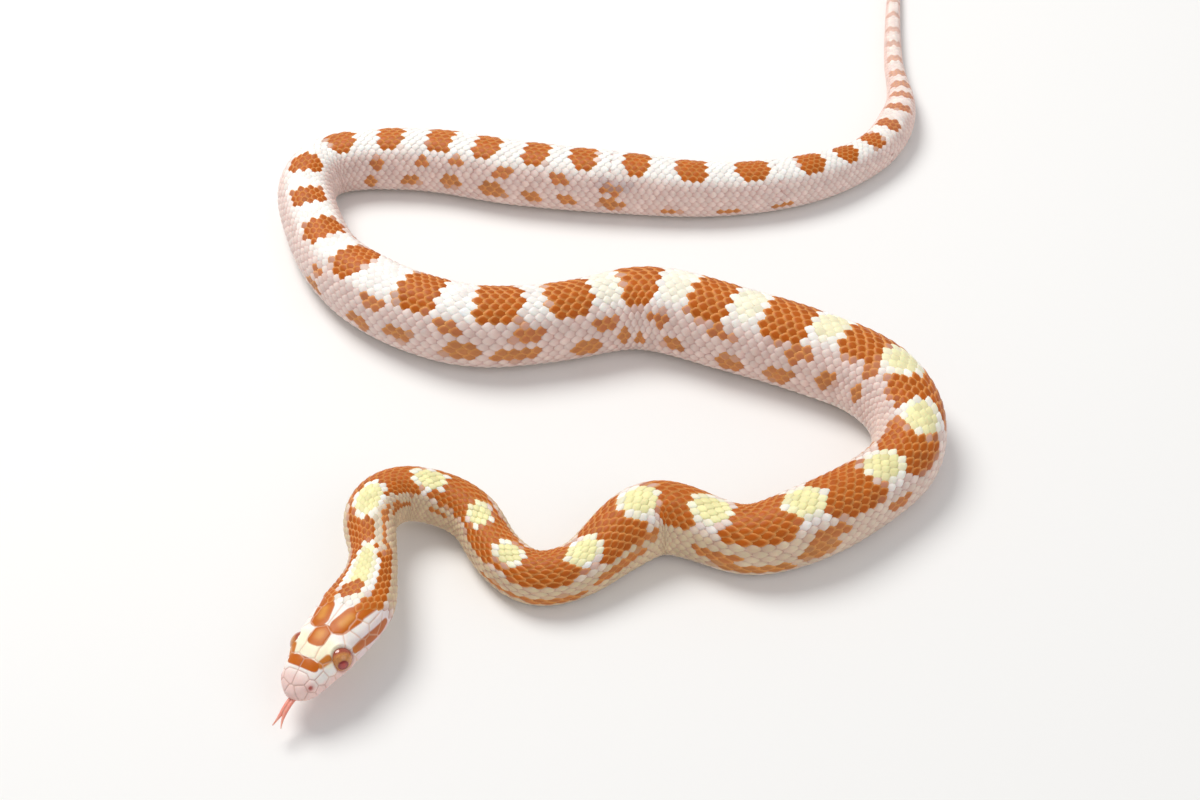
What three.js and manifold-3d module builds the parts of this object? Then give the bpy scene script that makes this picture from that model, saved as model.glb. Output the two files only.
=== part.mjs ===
// A young corn snake, life size, lying on a level surface in loose S bends with its head and neck a little raised
// and its tongue out. Millimetres, +Z up, +X to the viewer's right, +Y away from the viewer. The origin is on the
// surface under the middle of the whole animal.
//
// The animal is one loft along a route. Every section stands on the route, which runs under the belly, so each
// section's belly flat lies at the same level. The loft is cut into named lengths, each 0.3 mm from the next.
import * as THREE from "three";
import Module from "manifold-3d";

// Driving sizes
const BODY_LENGTH = 604; // snout to tail tip, along the route
const HEAD_LENGTH = 29; // snout to the face where the neck begins
const JAW_CORNER = 20.5; // snout to the corner of the mouth
const VENT = 508; // snout to the vent, where the tail begins
const SEAM = 0.3; // gap between touching pieces
const EYE_RADIUS = 2.3;

// Route of the belly line seen from above: snout first, tail tip last
const ROUTE_ORIGIN = [3.35, 52.47]; // middle of the whole outline, in the route's own numbers
const ROUTE = [
  [-55.4, -74.3],
  [-50.0, -65.2],
  [-44.9, -56.2],
  [-42.8, -47.6],
  [-43.3, -39.4],
  [-44.6, -32.2],
  [-40.2, -25.2],
  [-32.2, -24.8],
  [-24.6, -28.8],
  [-20.2, -37.4],
  [-12.6, -44.6],
  [-4.2, -42.4],
  [3.4, -35.2],
  [11.2, -29.8],
  [19.6, -32.2],
  [28.4, -35.9],
  [40.2, -32.0],
  [52.0, -24.0],
  [61.1, -14.2],
  [62.6, -2.2],
  [56.6, 8.0],
  [43.9, 16.0],
  [28.2, 23.0],
  [8.8, 29.9],
  [-9.6, 25.6],
  [-27.6, 24.2],
  [-45.4, 32.2],
  [-58.4, 45.6],
  [-65.8, 62.5],
  [-68.1, 73.6],
  [-65.3, 81.0],
  [-57.6, 84.0],
  [-40.0, 83.8],
  [-21.0, 79.0],
  [2.0, 75.6],
  [28.0, 73.8],
  [50.0, 79.0],
  [66.0, 90.8],
  [73.6, 108.0],
  [74.4, 130.0],
  [76.6, 152.0],
  [79.6, 174.0],
  [80.8, 186.0],
];

// Height of the route over the surface, as distance from the snout and lift
const LIFT = [
  [0, 3.4],
  [12, 4.2],
  [26, 4.8],
  [38, 4.5],
  [54, 2.6],
  [70, 0.7],
  [82, 0],
  [BODY_LENGTH, 0],
];

// Lean of the head toward its right side, as distance from the snout and degrees
const LEAN = [
  [0, 9],
  [24, 9],
  [52, 0],
];

// Width of the body, as distance from the snout and width. It follows the muscle of each bend
const GIRTH = [
  [26, 10.4],
  [35, 9.2],
  [42, 10.2],
  [50, 11.0],
  [62, 10.5],
  [78, 10.0],
  [98, 10.5],
  [118, 14.3],
  [133, 12.9],
  [152, 14.7],
  [172, 13.9],
  [188, 15.4],
  [202, 17.2],
  [222, 17.7],
  [248, 18.0],
  [270, 16.5],
  [296, 17.2],
  [318, 16.2],
  [338, 13.8],
  [358, 13.2],
  [374, 13.8],
  [414, 14.9],
  [440, 14.3],
  [466, 12.4],
  [486, 11.3],
  [502, 9.6],
  [518, 9.2],
  [530, 7.2],
  [541, 5.4],
  [556, 4.6],
  [580, 3.7],
  [596, 2.0],
  [BODY_LENGTH, 0.9],
];
const LEAN_ABOUT = 4; // height in the head that stays put as it leans
const BODY_HEIGHT = 0.93; // height over width
const WIDEST_AT = 0.43; // height of the widest level over full height

// Where the loft is cut: each name's length runs from its own distance to the next one's
const LENGTHS = [
  ["neck", HEAD_LENGTH],
  ["body_length_1", 60],
  ["body_length_2", 98],
  ["body_length_3", 142],
  ["body_length_4", 190],
  ["body_length_5", 236],
  ["body_length_6", 290],
  ["body_length_7", 330],
  ["body_length_8", 382],
  ["body_length_9", 420],
  ["body_length_10", 464],
  ["tail_length_1", VENT],
  ["tail_length_2", 556],
];
const BODY_SIDES = 24;
const BODY_STEP = 3.6;
const HEAD_SIDES = 32;
const HEAD_RINGS = 30;

// The head's half width, crown, widest level, mouth line and chin, against distance from the snout
const HEAD = {
  halfWidth: [
    [0, 2.6],
    [2, 3.5],
    [4, 4.2],
    [6.5, 4.9],
    [9.5, 5.6],
    [12.5, 6.15],
    [15.5, 6.65],
    [18.5, 7.0],
    [21.5, 7.05],
    [24, 6.75],
    [26.5, 6.05],
    [HEAD_LENGTH, 5.35],
    [HEAD_LENGTH + 2, 4.95],
  ],
  crown: [
    [0, 5.0],
    [2, 5.8],
    [5, 6.9],
    [8.5, 7.7],
    [12, 8.2],
    [16, 8.5],
    [21, 8.6],
    [HEAD_LENGTH + 2, 8.6],
  ],
  widest: [
    [0, 3.4],
    [8, 3.5],
    [17, 3.9],
    [HEAD_LENGTH + 2, 3.9],
  ],
  mouth: [
    [0, 2.35],
    [5.5, 2.3],
    [10, 2.1],
    [14.5, 2.3],
    [17.5, 2.9],
    [JAW_CORNER, 3.5],
  ],
  chin: [
    [0, 1.1],
    [2, 0.6],
    [5, 0.25],
    [9, 0],
    [HEAD_LENGTH + 2, 0],
  ],
};
const SNOUT_ROUNDING = 3.2; // distance over which the snout closes
const JAW_SETBACK = 0.7; // the lower jaw's tip behind the snout's
const JAW_INSET = 0.9; // the lower jaw's width over the upper lip's
const EYE = { along: 10.3, out: 4.35, up: 4.75 };
const BROW = { along: 10.4, out: 4.1, up: 6.4, half: [3.3, 1.5, 1.15] };
const NOSTRIL = { along: 2.5, out: 3.4, up: 4.7, radius: 0.42 };
const TONGUE = { root: 2.5, reach: 7.5, fork: 5.1, width: 1.4, thick: 0.7, spread: 0.6, drop: 1.9 };

// A smooth value through [place, value] pairs: a cubic between two pairs, with slopes kept from overshooting
function smooth(pairs, at) {
  const last = pairs.length - 1;
  if (at <= pairs[0][0]) return pairs[0][1];
  if (at >= pairs[last][0]) return pairs[last][1];
  let i = 0;
  while (at > pairs[i + 1][0]) i += 1;
  const rise = (k) => (pairs[k + 1][1] - pairs[k][1]) / (pairs[k + 1][0] - pairs[k][0]);
  const slope = (k) => {
    if (k === 0 || k === last) return 0;
    const before = rise(k - 1);
    const after = rise(k);
    return before * after <= 0 ? 0 : (2 * before * after) / (before + after);
  };
  const span = pairs[i + 1][0] - pairs[i][0];
  const t = (at - pairs[i][0]) / span;
  return (
    (1 + 2 * t) * (1 - t) ** 2 * pairs[i][1] +
    t * (1 - t) ** 2 * span * slope(i) +
    t * t * (3 - 2 * t) * pairs[i + 1][1] +
    t * t * (t - 1) * span * slope(i + 1)
  );
}

const route = new THREE.CatmullRomCurve3(
  ROUTE.map(([x, y]) => new THREE.Vector3(x - ROUTE_ORIGIN[0], y - ROUTE_ORIGIN[1], 0)),
);
route.arcLengthDivisions = 4000;
const ROUTE_LENGTH = route.getLength();

// A point of the route with its tight turns eased. Past either end the route goes straight on
const EASING = [1, 4, 6, 4, 1];
const EASING_STEP = 2.6;
function routePoint(along) {
  const point = new THREE.Vector3();
  EASING.forEach((weight, i) => {
    const d = along + (i - 2) * EASING_STEP;
    const held = THREE.MathUtils.clamp(d, 0, ROUTE_LENGTH);
    point.addScaledVector(route.getPointAt(held / ROUTE_LENGTH), weight / 16);
    point.addScaledVector(route.getTangentAt(held / ROUTE_LENGTH), (weight / 16) * (d - held));
  });
  return point;
}

// The frame of a section: its foot on the route, and its directions to the rear, to the animal's right and up
function frameAt(along) {
  const probe = 0.5;
  const foot = routePoint(along);
  foot.z = smooth(LIFT, along);
  const rearward = routePoint(along + probe).sub(routePoint(along - probe));
  const side = new THREE.Vector3(-rearward.y, rearward.x, 0).normalize();
  rearward.z = smooth(LIFT, along + probe) - smooth(LIFT, along - probe);
  rearward.normalize();
  const up = new THREE.Vector3().crossVectors(rearward, side).normalize();
  const lean = -THREE.MathUtils.degToRad(smooth(LEAN, along));
  const middle = foot.clone().addScaledVector(up, LEAN_ABOUT);
  side.applyAxisAngle(rearward, lean);
  up.applyAxisAngle(rearward, lean);
  return { foot: middle.addScaledVector(up, -LEAN_ABOUT), side, up, rearward };
}

// A point given by its distance along, its distance to the side and its height in that section
function place(along, out, high) {
  const { foot, side, up } = frameAt(along);
  return foot.addScaledVector(side, out).addScaledVector(up, high);
}

const power = (value, exponent) => Math.sign(value) * Math.abs(value) ** exponent;

// A body section: a rounded back on a flat belly, with side keels between them
function bodyOutline(along, sides) {
  const width = smooth(GIRTH, along);
  const height = width * BODY_HEIGHT;
  const widest = height * WIDEST_AT;
  return ring(sides, (turn) => {
    const above = Math.cos(turn) > 0;
    const exponent = above ? 2 / 2.1 : 2 / 2.7;
    const out = (width / 2) * power(Math.sin(turn), exponent);
    const reach = above ? height - widest : widest * 1.03;
    return [out, Math.max(0, widest + reach * power(Math.cos(turn), exponent))];
  });
}

// A head section. Below the mouth line it is the lower jaw, which is narrower and starts further back
function headOutline(along, sides) {
  const closing = (start) => {
    const t = THREE.MathUtils.clamp((along - start) / SNOUT_ROUNDING, 0, 1);
    return (1 - (1 - t) ** 2.3) ** (1 / 2.3);
  };
  const upper = closing(0);
  const lower = Math.min(upper, closing(JAW_SETBACK));
  const half = smooth(HEAD.halfWidth, along);
  const widest = smooth(HEAD.widest, along);
  const mouth = smooth(HEAD.mouth, along);
  const inset = THREE.MathUtils.lerp(JAW_INSET, 1, THREE.MathUtils.smoothstep(along, 14, 21));
  const boxy = THREE.MathUtils.lerp(2.6, 2.15, THREE.MathUtils.smoothstep(along, 9, 24));
  return ring(sides, (turn) => {
    const above = Math.cos(turn) > 0;
    const limit = above ? smooth(HEAD.crown, along) : smooth(HEAD.chin, along);
    const exponent = 2 / boxy;
    const high = widest + (limit - widest) * Math.abs(power(Math.cos(turn), exponent)) * upper;
    const out = half * power(Math.sin(turn), exponent);
    return high < mouth ? [out * lower * inset, high] : [out * upper, high];
  });
}

function ring(sides, point) {
  const points = [];
  for (let i = 0; i < sides; i += 1) points.push(point((2 * Math.PI * i) / sides));
  return points;
}

// A closed mesh through rings of equal count, with a fan to the middle of each end or to a given tip
function loft(rings, tips = []) {
  const sides = rings[0].length;
  const positions = rings.flat().flatMap((p) => p.toArray());
  const faces = [];
  for (let r = 0; r + 1 < rings.length; r += 1) {
    for (let i = 0; i < sides; i += 1) {
      const j = (i + 1) % sides;
      const [a, b, c, d] = [r * sides + i, r * sides + j, (r + 1) * sides + j, (r + 1) * sides + i];
      faces.push(a, b, c, a, c, d);
    }
  }
  for (const [end, flip] of [[0, true], [rings.length - 1, false]]) {
    const middle = new THREE.Vector3();
    for (const p of rings[end]) middle.addScaledVector(p, 1 / sides);
    const centre = positions.length / 3;
    positions.push(...(tips[flip ? 0 : 1] ?? middle).toArray());
    for (let i = 0; i < sides; i += 1) {
      const [a, b] = [end * sides + i, end * sides + ((i + 1) % sides)];
      faces.push(centre, flip ? b : a, flip ? a : b);
    }
  }
  const geometry = new THREE.BufferGeometry();
  geometry.setAttribute("position", new THREE.Float32BufferAttribute(positions, 3));
  geometry.setIndex(faces);
  return geometry;
}

function lengthBetween(start, end) {
  const steps = Math.max(3, Math.round((end - start) / BODY_STEP));
  const rings = [];
  for (let i = 0; i <= steps; i += 1) {
    const along = start + ((end - start) * i) / steps;
    const blend = THREE.MathUtils.smoothstep(along, HEAD_LENGTH - 2, HEAD_LENGTH + 7);
    const body = bodyOutline(along, BODY_SIDES);
    const head = blend < 1 ? headOutline(Math.min(along, HEAD_LENGTH + 2), BODY_SIDES) : body;
    rings.push(
      body.map(([x, z], k) =>
        place(along, THREE.MathUtils.lerp(head[k][0], x, blend), THREE.MathUtils.lerp(head[k][1], z, blend)),
      ),
    );
  }
  return loft(rings);
}

// Solids for joining and cutting
const wasm = await Module();
wasm.setup();

function solid(geometry) {
  return new wasm.Manifold(
    new wasm.Mesh({
      numProp: 3,
      vertProperties: new Float32Array(geometry.attributes.position.array),
      triVerts: new Uint32Array(geometry.index.array),
    }),
  );
}

function geometryOf(manifold) {
  const { vertProperties, triVerts } = manifold.getMesh();
  const geometry = new THREE.BufferGeometry();
  geometry.setAttribute("position", new THREE.Float32BufferAttribute(vertProperties, 3));
  geometry.setIndex(Array.from(triVerts));
  return geometry;
}

const bySize = (manifold) => manifold.decompose().sort((a, b) => b.volume() - a.volume());

// A ball or ellipsoid set in the head, its long axis along the head
function ball(along, out, high, half, sides = 16) {
  const { side, up, rearward } = frameAt(along);
  const middle = place(along, out, high);
  const at = (f, s, u) =>
    middle
      .clone()
      .addScaledVector(rearward, f * half[0])
      .addScaledVector(side, s * half[1])
      .addScaledVector(up, u * half[2]);
  const rings = [];
  const bands = Math.round(sides * 0.55);
  for (let i = 1; i < bands; i += 1) {
    const lean = (Math.PI * i) / bands;
    rings.push(
      ring(sides, (turn) => [Math.sin(turn) * Math.sin(lean), Math.cos(turn) * Math.sin(lean)]).map(([x, z]) =>
        at(-Math.cos(lean), x, z),
      ),
    );
  }
  return loft(rings, [at(-1, 0, 0), at(1, 0, 0)]);
}

// The whole head as one closed loft, snout to neck
function headLoft() {
  const rings = [];
  for (let i = 1; i <= HEAD_RINGS; i += 1) {
    const along = HEAD_LENGTH * (i / HEAD_RINGS) ** 1.45;
    rings.push(headOutline(along, HEAD_SIDES).map(([x, z]) => place(along, x, z)));
  }
  return loft(rings);
}

// The cut that frees the lower jaw: back along the mouth line to its corner, then down through the throat
function mouthCut() {
  const path = [];
  for (let i = 0; i <= 12; i += 1) {
    const along = -2 + ((JAW_CORNER + 2) * i) / 12;
    path.push([along, smooth(HEAD.mouth, along)]);
  }
  const corner = path.at(-1)[1];
  path.push([JAW_CORNER + 0.9, corner - 0.7], [JAW_CORNER + 1.4, corner - 2.2], [JAW_CORNER + 1.7, -3]);
  const reach = 9;
  const rings = path.map(([along, high], i) => {
    const [before, after] = [path[Math.max(0, i - 1)], path[Math.min(path.length - 1, i + 1)]];
    const [run, rise] = [after[0] - before[0], after[1] - before[1]];
    const [lean, lift] = [-rise, run].map((v) => (v * SEAM) / 2 / Math.hypot(run, rise));
    return [[1, -reach], [1, reach], [-1, reach], [-1, -reach]].map(([way, out]) =>
      cutPoint(along + way * lean, out, high + way * lift),
    );
  });
  return loft(rings);
}

// In front of the snout the head's own straight axis goes on
function cutPoint(along, out, high) {
  const { foot, side, up, rearward } = frameAt(Math.max(0, along));
  return foot
    .addScaledVector(rearward, Math.min(0, along))
    .addScaledVector(side, out)
    .addScaledVector(up, high);
}

// A solid with its faces pointing out, whichever way its rings run
function outward(geometry) {
  const made = solid(geometry);
  if (made.volume() >= 0) return made;
  const flipped = geometry.clone();
  const index = flipped.index.array;
  for (let i = 0; i < index.length; i += 3) [index[i + 1], index[i + 2]] = [index[i + 2], index[i + 1]];
  return solid(flipped);
}

// The tongue: a flat stem out of the mouth, drooping, split into two tapering tips
function tongueSolid(grow) {
  const stem = (side) => {
    const rings = [];
    const steps = 9;
    for (let i = 0; i <= steps; i += 1) {
      const t = i / steps;
      const out = TONGUE.root - t * TONGUE.reach; // distance along, negative in front of the snout
      const gone = THREE.MathUtils.clamp((t * TONGUE.reach - TONGUE.fork) / (TONGUE.reach - TONGUE.fork), 0, 1);
      const sideways = side * (TONGUE.width * 0.24 + TONGUE.spread * gone ** 1.5);
      const wide = (TONGUE.width * 0.3) * (1 - 0.72 * gone) + grow;
      const thick = (TONGUE.thick / 2) * (1 - 0.5 * gone) + grow;
      const high = smooth(HEAD.mouth, 0) - TONGUE.drop * Math.max(0, (t * TONGUE.reach - TONGUE.root) / (TONGUE.reach - TONGUE.root)) ** 1.6;
      rings.push(
        ring(8, (turn) => [Math.sin(turn) * wide, Math.cos(turn) * thick]).map(([x, z]) =>
          cutPoint(out, sideways + x, high + z),
        ),
      );
    }
    return outward(loft(rings));
  };
  return stem(1).add(stem(-1));
}

const skin = (color, roughness) => new THREE.MeshStandardMaterial({ color, roughness, metalness: 0 });
const ORANGE_SCALES = skin(0xc65a22, 0.5);
const PALE_SCALES = skin(0xe9d6cc, 0.5);
const EYE_RED = skin(0xb05038, 0.12);
const TONGUE_PINK = skin(0xe9a493, 0.4);

const snake = new THREE.Group();
function addPiece(name, geometry, material) {
  const mesh = new THREE.Mesh(geometry, material);
  mesh.name = name;
  snake.add(mesh);
}

// Head, lower jaw, eyes and tongue
const SIDES = [["left", -1], ["right", 1]];
let head = outward(headLoft());
for (const [, side] of SIDES) {
  head = head.add(outward(ball(BROW.along, side * BROW.out, BROW.up, BROW.half, 18)));
}
for (const [, side] of SIDES) {
  const socket = EYE_RADIUS + SEAM;
  head = head.subtract(outward(ball(EYE.along, side * EYE.out, EYE.up, [socket, socket, socket], 20)));
  const pit = NOSTRIL.radius;
  head = head.subtract(outward(ball(NOSTRIL.along, side * NOSTRIL.out, NOSTRIL.up, [pit * 1.3, pit * 2, pit], 10)));
}
head = head.subtract(outward(mouthCut())).subtract(tongueSolid(SEAM));
const [upperHead, lowerJaw] = bySize(head);
addPiece("head", geometryOf(upperHead), ORANGE_SCALES);
addPiece("lower_jaw", geometryOf(lowerJaw), PALE_SCALES);
for (const [name, side] of SIDES) {
  const radius = [EYE_RADIUS, EYE_RADIUS, EYE_RADIUS];
  addPiece(`eye_${name}`, geometryOf(outward(ball(EYE.along, side * EYE.out, EYE.up, radius, 18))), EYE_RED);
}
addPiece("tongue", geometryOf(bySize(tongueSolid(0))[0]), TONGUE_PINK);

// Neck, body and tail
LENGTHS.forEach(([name, start], i) => {
  const end = i + 1 < LENGTHS.length ? LENGTHS[i + 1][1] : BODY_LENGTH;
  const from = start + SEAM / 2;
  const to = end - (i + 1 < LENGTHS.length ? SEAM / 2 : 0);
  addPiece(name, geometryOf(outward(lengthBetween(from, to))), PALE_SCALES);
});

export default snake;
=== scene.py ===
"""A young corn snake, life size, lying in loose S bends.

One skin runs from the snout to the tail tip. The head's plates are drawn in the skin itself. Behind the head
it carries a coat of separate overlapping scales, and broad plates cross the belly. Sizes are in millimetres
until a mesh is made. Distances along the animal start at the snout. A place round it runs from -0.5 to 0.5,
with 0 on the middle of the back and its right side positive.
"""
import math

import bmesh
import bpy
import numpy as np
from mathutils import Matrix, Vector


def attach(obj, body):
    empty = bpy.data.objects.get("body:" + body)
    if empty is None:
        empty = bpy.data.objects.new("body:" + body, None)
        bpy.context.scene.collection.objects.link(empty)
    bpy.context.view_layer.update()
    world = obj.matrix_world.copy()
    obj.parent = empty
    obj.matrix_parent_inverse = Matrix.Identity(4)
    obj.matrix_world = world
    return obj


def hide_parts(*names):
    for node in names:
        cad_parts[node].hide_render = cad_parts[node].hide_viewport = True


bl_info = {
    "name": "Corn snake",
    "version": (1, 0, 0),
    "blender": (4, 5, 0),
    "location": "View3D > Sidebar > Snake",
    "description": "Builds a young corn snake with its skin, scales, eyes and tongue",
    "category": "Add Mesh",
}

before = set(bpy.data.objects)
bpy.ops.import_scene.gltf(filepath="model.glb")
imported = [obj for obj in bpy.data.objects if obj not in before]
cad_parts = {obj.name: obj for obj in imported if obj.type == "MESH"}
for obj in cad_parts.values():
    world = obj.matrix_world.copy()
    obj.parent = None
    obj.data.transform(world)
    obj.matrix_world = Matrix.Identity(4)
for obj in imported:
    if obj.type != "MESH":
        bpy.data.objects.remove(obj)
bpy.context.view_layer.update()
MM = 0.001

# The route of the belly line from above, snout first
ROUTE_ORIGIN = (3.35, 52.47)
ROUTE = (
    (-55.4, -74.3), (-50.0, -65.2), (-44.9, -56.2), (-42.8, -47.6), (-43.3, -39.4), (-44.6, -32.2),
    (-40.2, -25.2), (-32.2, -24.8), (-24.6, -28.8), (-20.2, -37.4), (-12.6, -44.6), (-4.2, -42.4),
    (3.4, -35.2), (11.2, -29.8), (19.6, -32.2), (28.4, -35.9), (40.2, -32.0), (52.0, -24.0),
    (61.1, -14.2), (62.6, -2.2), (56.6, 8.0), (43.9, 16.0), (28.2, 23.0), (8.8, 29.9), (-9.6, 25.6),
    (-27.6, 24.2), (-45.4, 32.2), (-58.4, 45.6), (-65.8, 62.5), (-68.1, 73.6), (-65.3, 81.0),
    (-57.6, 84.0), (-40.0, 83.8), (-21.0, 79.0), (2.0, 75.6), (28.0, 73.8), (50.0, 79.0),
    (66.0, 90.8), (73.6, 108.0), (74.4, 130.0), (76.6, 152.0), (79.6, 174.0), (80.8, 186.0),
)
EASING = (1, 4, 6, 4, 1)
EASING_STEP = 2.6

# Sizes against distance from the snout
BODY_LENGTH = 604.0
HEAD_LENGTH = 29.0
JAW_CORNER = 20.5
VENT = 508.0
LIFT = ((0, 3.4), (12, 4.2), (26, 4.8), (38, 4.5), (54, 2.6), (70, 0.7), (82, 0), (BODY_LENGTH, 0))
LEAN = ((0, 9), (24, 9), (52, 0))
LEAN_ABOUT = 4.0
GIRTH = (
    (26, 10.4), (35, 9.2), (42, 10.2), (50, 11.0), (62, 10.5), (78, 10.0), (98, 10.5), (118, 14.3),
    (133, 12.9), (152, 14.7), (172, 13.9), (188, 15.4), (202, 17.2), (222, 17.7), (248, 18.0),
    (270, 16.5), (296, 17.2), (318, 16.2), (338, 13.8), (358, 13.2), (374, 13.8), (414, 14.9),
    (440, 14.3), (466, 12.4), (486, 11.3), (502, 9.6), (518, 9.2), (530, 7.2), (541, 5.4),
    (556, 4.6), (580, 3.7), (596, 2.0), (BODY_LENGTH, 0.9),
)
BODY_HEIGHT = 0.93
WIDEST_AT = 0.43
# How square the sections are: 2 is an ellipse
BACK_SQUARE = 2.1
BELLY_SQUARE = 2.7
SNOUT_SQUARE = 2.6
JOWL_SQUARE = 2.15

# The head: half width, crown, widest level, mouth line and chin
HEAD_HALF = (
    (0, 2.6), (2, 3.5), (4, 4.2), (6.5, 4.9), (9.5, 5.6), (12.5, 6.15), (15.5, 6.65), (18.5, 7.0),
    (21.5, 7.05), (24, 6.75), (26.5, 6.05), (HEAD_LENGTH, 5.35), (HEAD_LENGTH + 2, 4.95),
)
HEAD_CROWN = ((0, 5.0), (2, 5.8), (5, 6.9), (8.5, 7.7), (12, 8.2), (16, 8.5), (21, 8.6), (31, 8.6))
HEAD_WIDEST = ((0, 3.4), (8, 3.5), (17, 3.9), (31, 3.9))
HEAD_MOUTH = ((0, 2.35), (5.5, 2.3), (10, 2.1), (14.5, 2.3), (17.5, 2.9), (JAW_CORNER, 3.5))
HEAD_CHIN = ((0, 1.1), (2, 0.6), (5, 0.25), (9, 0), (31, 0))
SNOUT_ROUNDING = 3.2
SNOUT_POWER = 2.3
JAW_SETBACK = 0.7
JAW_INSET = 0.9
EYE = (10.3, 4.35, 4.75)
EYE_RADIUS = 2.3
BROW = (10.3, 4.3, 6.6)
NOSTRIL = (2.5, 3.4, 4.7)
NOSTRIL_RADIUS = 0.42
TONGUE_ROOT = 2.5
TONGUE_REACH = 7.5
TONGUE_FORK = 5.1
TONGUE_WIDTH = 1.4
TONGUE_THICK = 0.7
TONGUE_SPREAD = 0.6
TONGUE_DROP = 1.9

# Markings, as distances from the snout. The back's middle is rolled outward at the wide right bend
TWIST = (
    (0, 0), (60, 0), (85, -0.03), (100, -0.025), (116, 0), (150, 0), (184, -0.045), (200, -0.05), (224, 0),
    (BODY_LENGTH, 0),
)
SADDLES = (
    38, 52, 67, 80, 93, 108, 124, 140, 160, 177, 191, 206, 223, 240, 257, 272, 287, 304, 323, 338, 351, 363,
    375, 387, 399, 410, 422, 433, 445, 458, 472, 486, 496, 505, 513, 521, 528, 534, 540, 547, 554, 561,
    568, 575, 582, 589,
)
SADDLE_HALF = (
    (30, 8), (100, 8), (126, 7.4), (160, 7.6), (190, 6.0), (240, 5.3), (300, 4.9), (330, 4.3), (355, 3.3),
    (400, 3.0), (445, 3.2), (472, 3.7), (500, 2.6), (522, 1.7), (560, 1.1), (600, 0.8),
)
SADDLE_REACH = (
    (30, 0.15), (60, 0.15), (110, 0.16), (140, 0.165), (180, 0.145), (260, 0.14), (320, 0.125), (360, 0.108),
    (420, 0.11), (480, 0.11), (515, 0.13), (545, 0.17), (600, 0.2),
)
SPOTS = (28, 44.5, 60, 74, 86, 101, 116, 131, 150, 169, 184, 198, 214, 232, 248, 264)
SPOT_HALF = ((28, 6.6), (44, 4.5), (74, 3.3), (86, 3.2), (101, 3.9), (150, 4.6), (200, 4.0), (264, 3.6))
SPOT_REACH = ((28, 0.072), (44, 0.09), (86, 0.085), (131, 0.1), (184, 0.095), (264, 0.12))
# Each mark on the flanks: distance, place round the body, half length in mm, half height round the body
FLANK_BLOTCHES = (
    (33.5, -0.13, 3.0, 0.014), (37, -0.112, 3.0, 0.015), (40, -0.118, 2.5, 0.017),
    (42.5, -0.148, 2.6, 0.02), (46.5, -0.188, 3.6, 0.022), (51, -0.205, 3.0, 0.018), (64, -0.2, 3.6, 0.02),
    (86, -0.25, 4.5, 0.025), (95, -0.26, 5.0, 0.035), (106, -0.22, 6.5, 0.03), (114, -0.17, 3.4, 0.028),
    (134, -0.235, 4.6, 0.024), (152, -0.185, 5.0, 0.026), (168, -0.2, 3.4, 0.03), (182, 0.13, 1.6, 0.022),
    (200, 0.14, 2.7, 0.032), (218, 0.165, 2.9, 0.035), (236, 0.165, 3.2, 0.026), (250, 0.17, 3.1, 0.03),
    (266, 0.18, 2.5, 0.04), (282, 0.175, 3.4, 0.035), (296, 0.15, 2.2, 0.032), (312, 0.145, 2.6, 0.03),
    (328, 0.17, 2.2, 0.03), (384, -0.17, 2.2, 0.03), (395, -0.165, 2.0, 0.026), (404, -0.14, 1.9, 0.028),
    (415, -0.155, 2.4, 0.03), (428, -0.16, 2.4, 0.03), (440, -0.19, 2.2, 0.028),
)
# Pale streaks along the front loop, between the back's orange and the flank's
PALE_STREAKS = (
    (38, -0.115, 6.0, 0.08), (44, -0.14, 5.0, 0.055), (50, -0.17, 5.0, 0.045), (58, -0.17, 5.0, 0.035),
    (67, -0.17, 5.0, 0.03),
)
# Smaller and duller marks, lower on the flanks
EDGE_BLOTCHES = (
    (140, -0.298, 6.72, 0.028), (150, -0.253, 4.7, 0.033), (200, 0.263, 1.68, 0.048),
    (210, 0.243, 2.46, 0.044), (221, 0.278, 3.25, 0.042), (233, 0.288, 3.25, 0.038),
    (246, 0.268, 2.46, 0.038), (256, 0.273, 1.57, 0.033), (262, 0.258, 1.79, 0.038),
    (270, 0.278, 3.02, 0.038), (284, 0.268, 4.48, 0.042), (294, 0.258, 3.25, 0.044),
    (306, 0.243, 3.36, 0.04), (315, 0.278, 2.69, 0.034), (330, 0.268, 2.69, 0.038),
    (382, -0.278, 2.02, 0.038), (392, -0.268, 2.46, 0.042), (403, -0.248, 2.24, 0.038),
    (413, -0.258, 3.36, 0.042), (422, -0.268, 2.46, 0.042), (430, -0.262, 2.2, 0.036),
    (440, -0.275, 3, 0.036), (453, -0.3, 2.6, 0.026), (466, -0.3, 3, 0.024), (478, -0.3, 2.2, 0.024),
)
# A grey smudge on the rear third's flank, and the orange spot on the nape
GREY_SMUDGE = (441, -0.16, 4.5, 0.03)
NAPE_SPOT = (22.7, 0.014, 2.2, 0.052)
HALF_SADDLE = 5
# Where the colours change, as the two ends of each change: along the body, then round it
FRONT_THIRD = (120, 200)
SPOTS_PALE = (170, 260)
TAIL_ROOT = (490, 530)
TAIL_FADE = (500, 560)
HEAD_TO_BODY = (21.5, 23.5)
BACK_EDGE = (0.09, 0.16)
CREAM_EDGE = (0.1, 0.17)
BELLY_EDGE = (0.33, 0.37)

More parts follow.
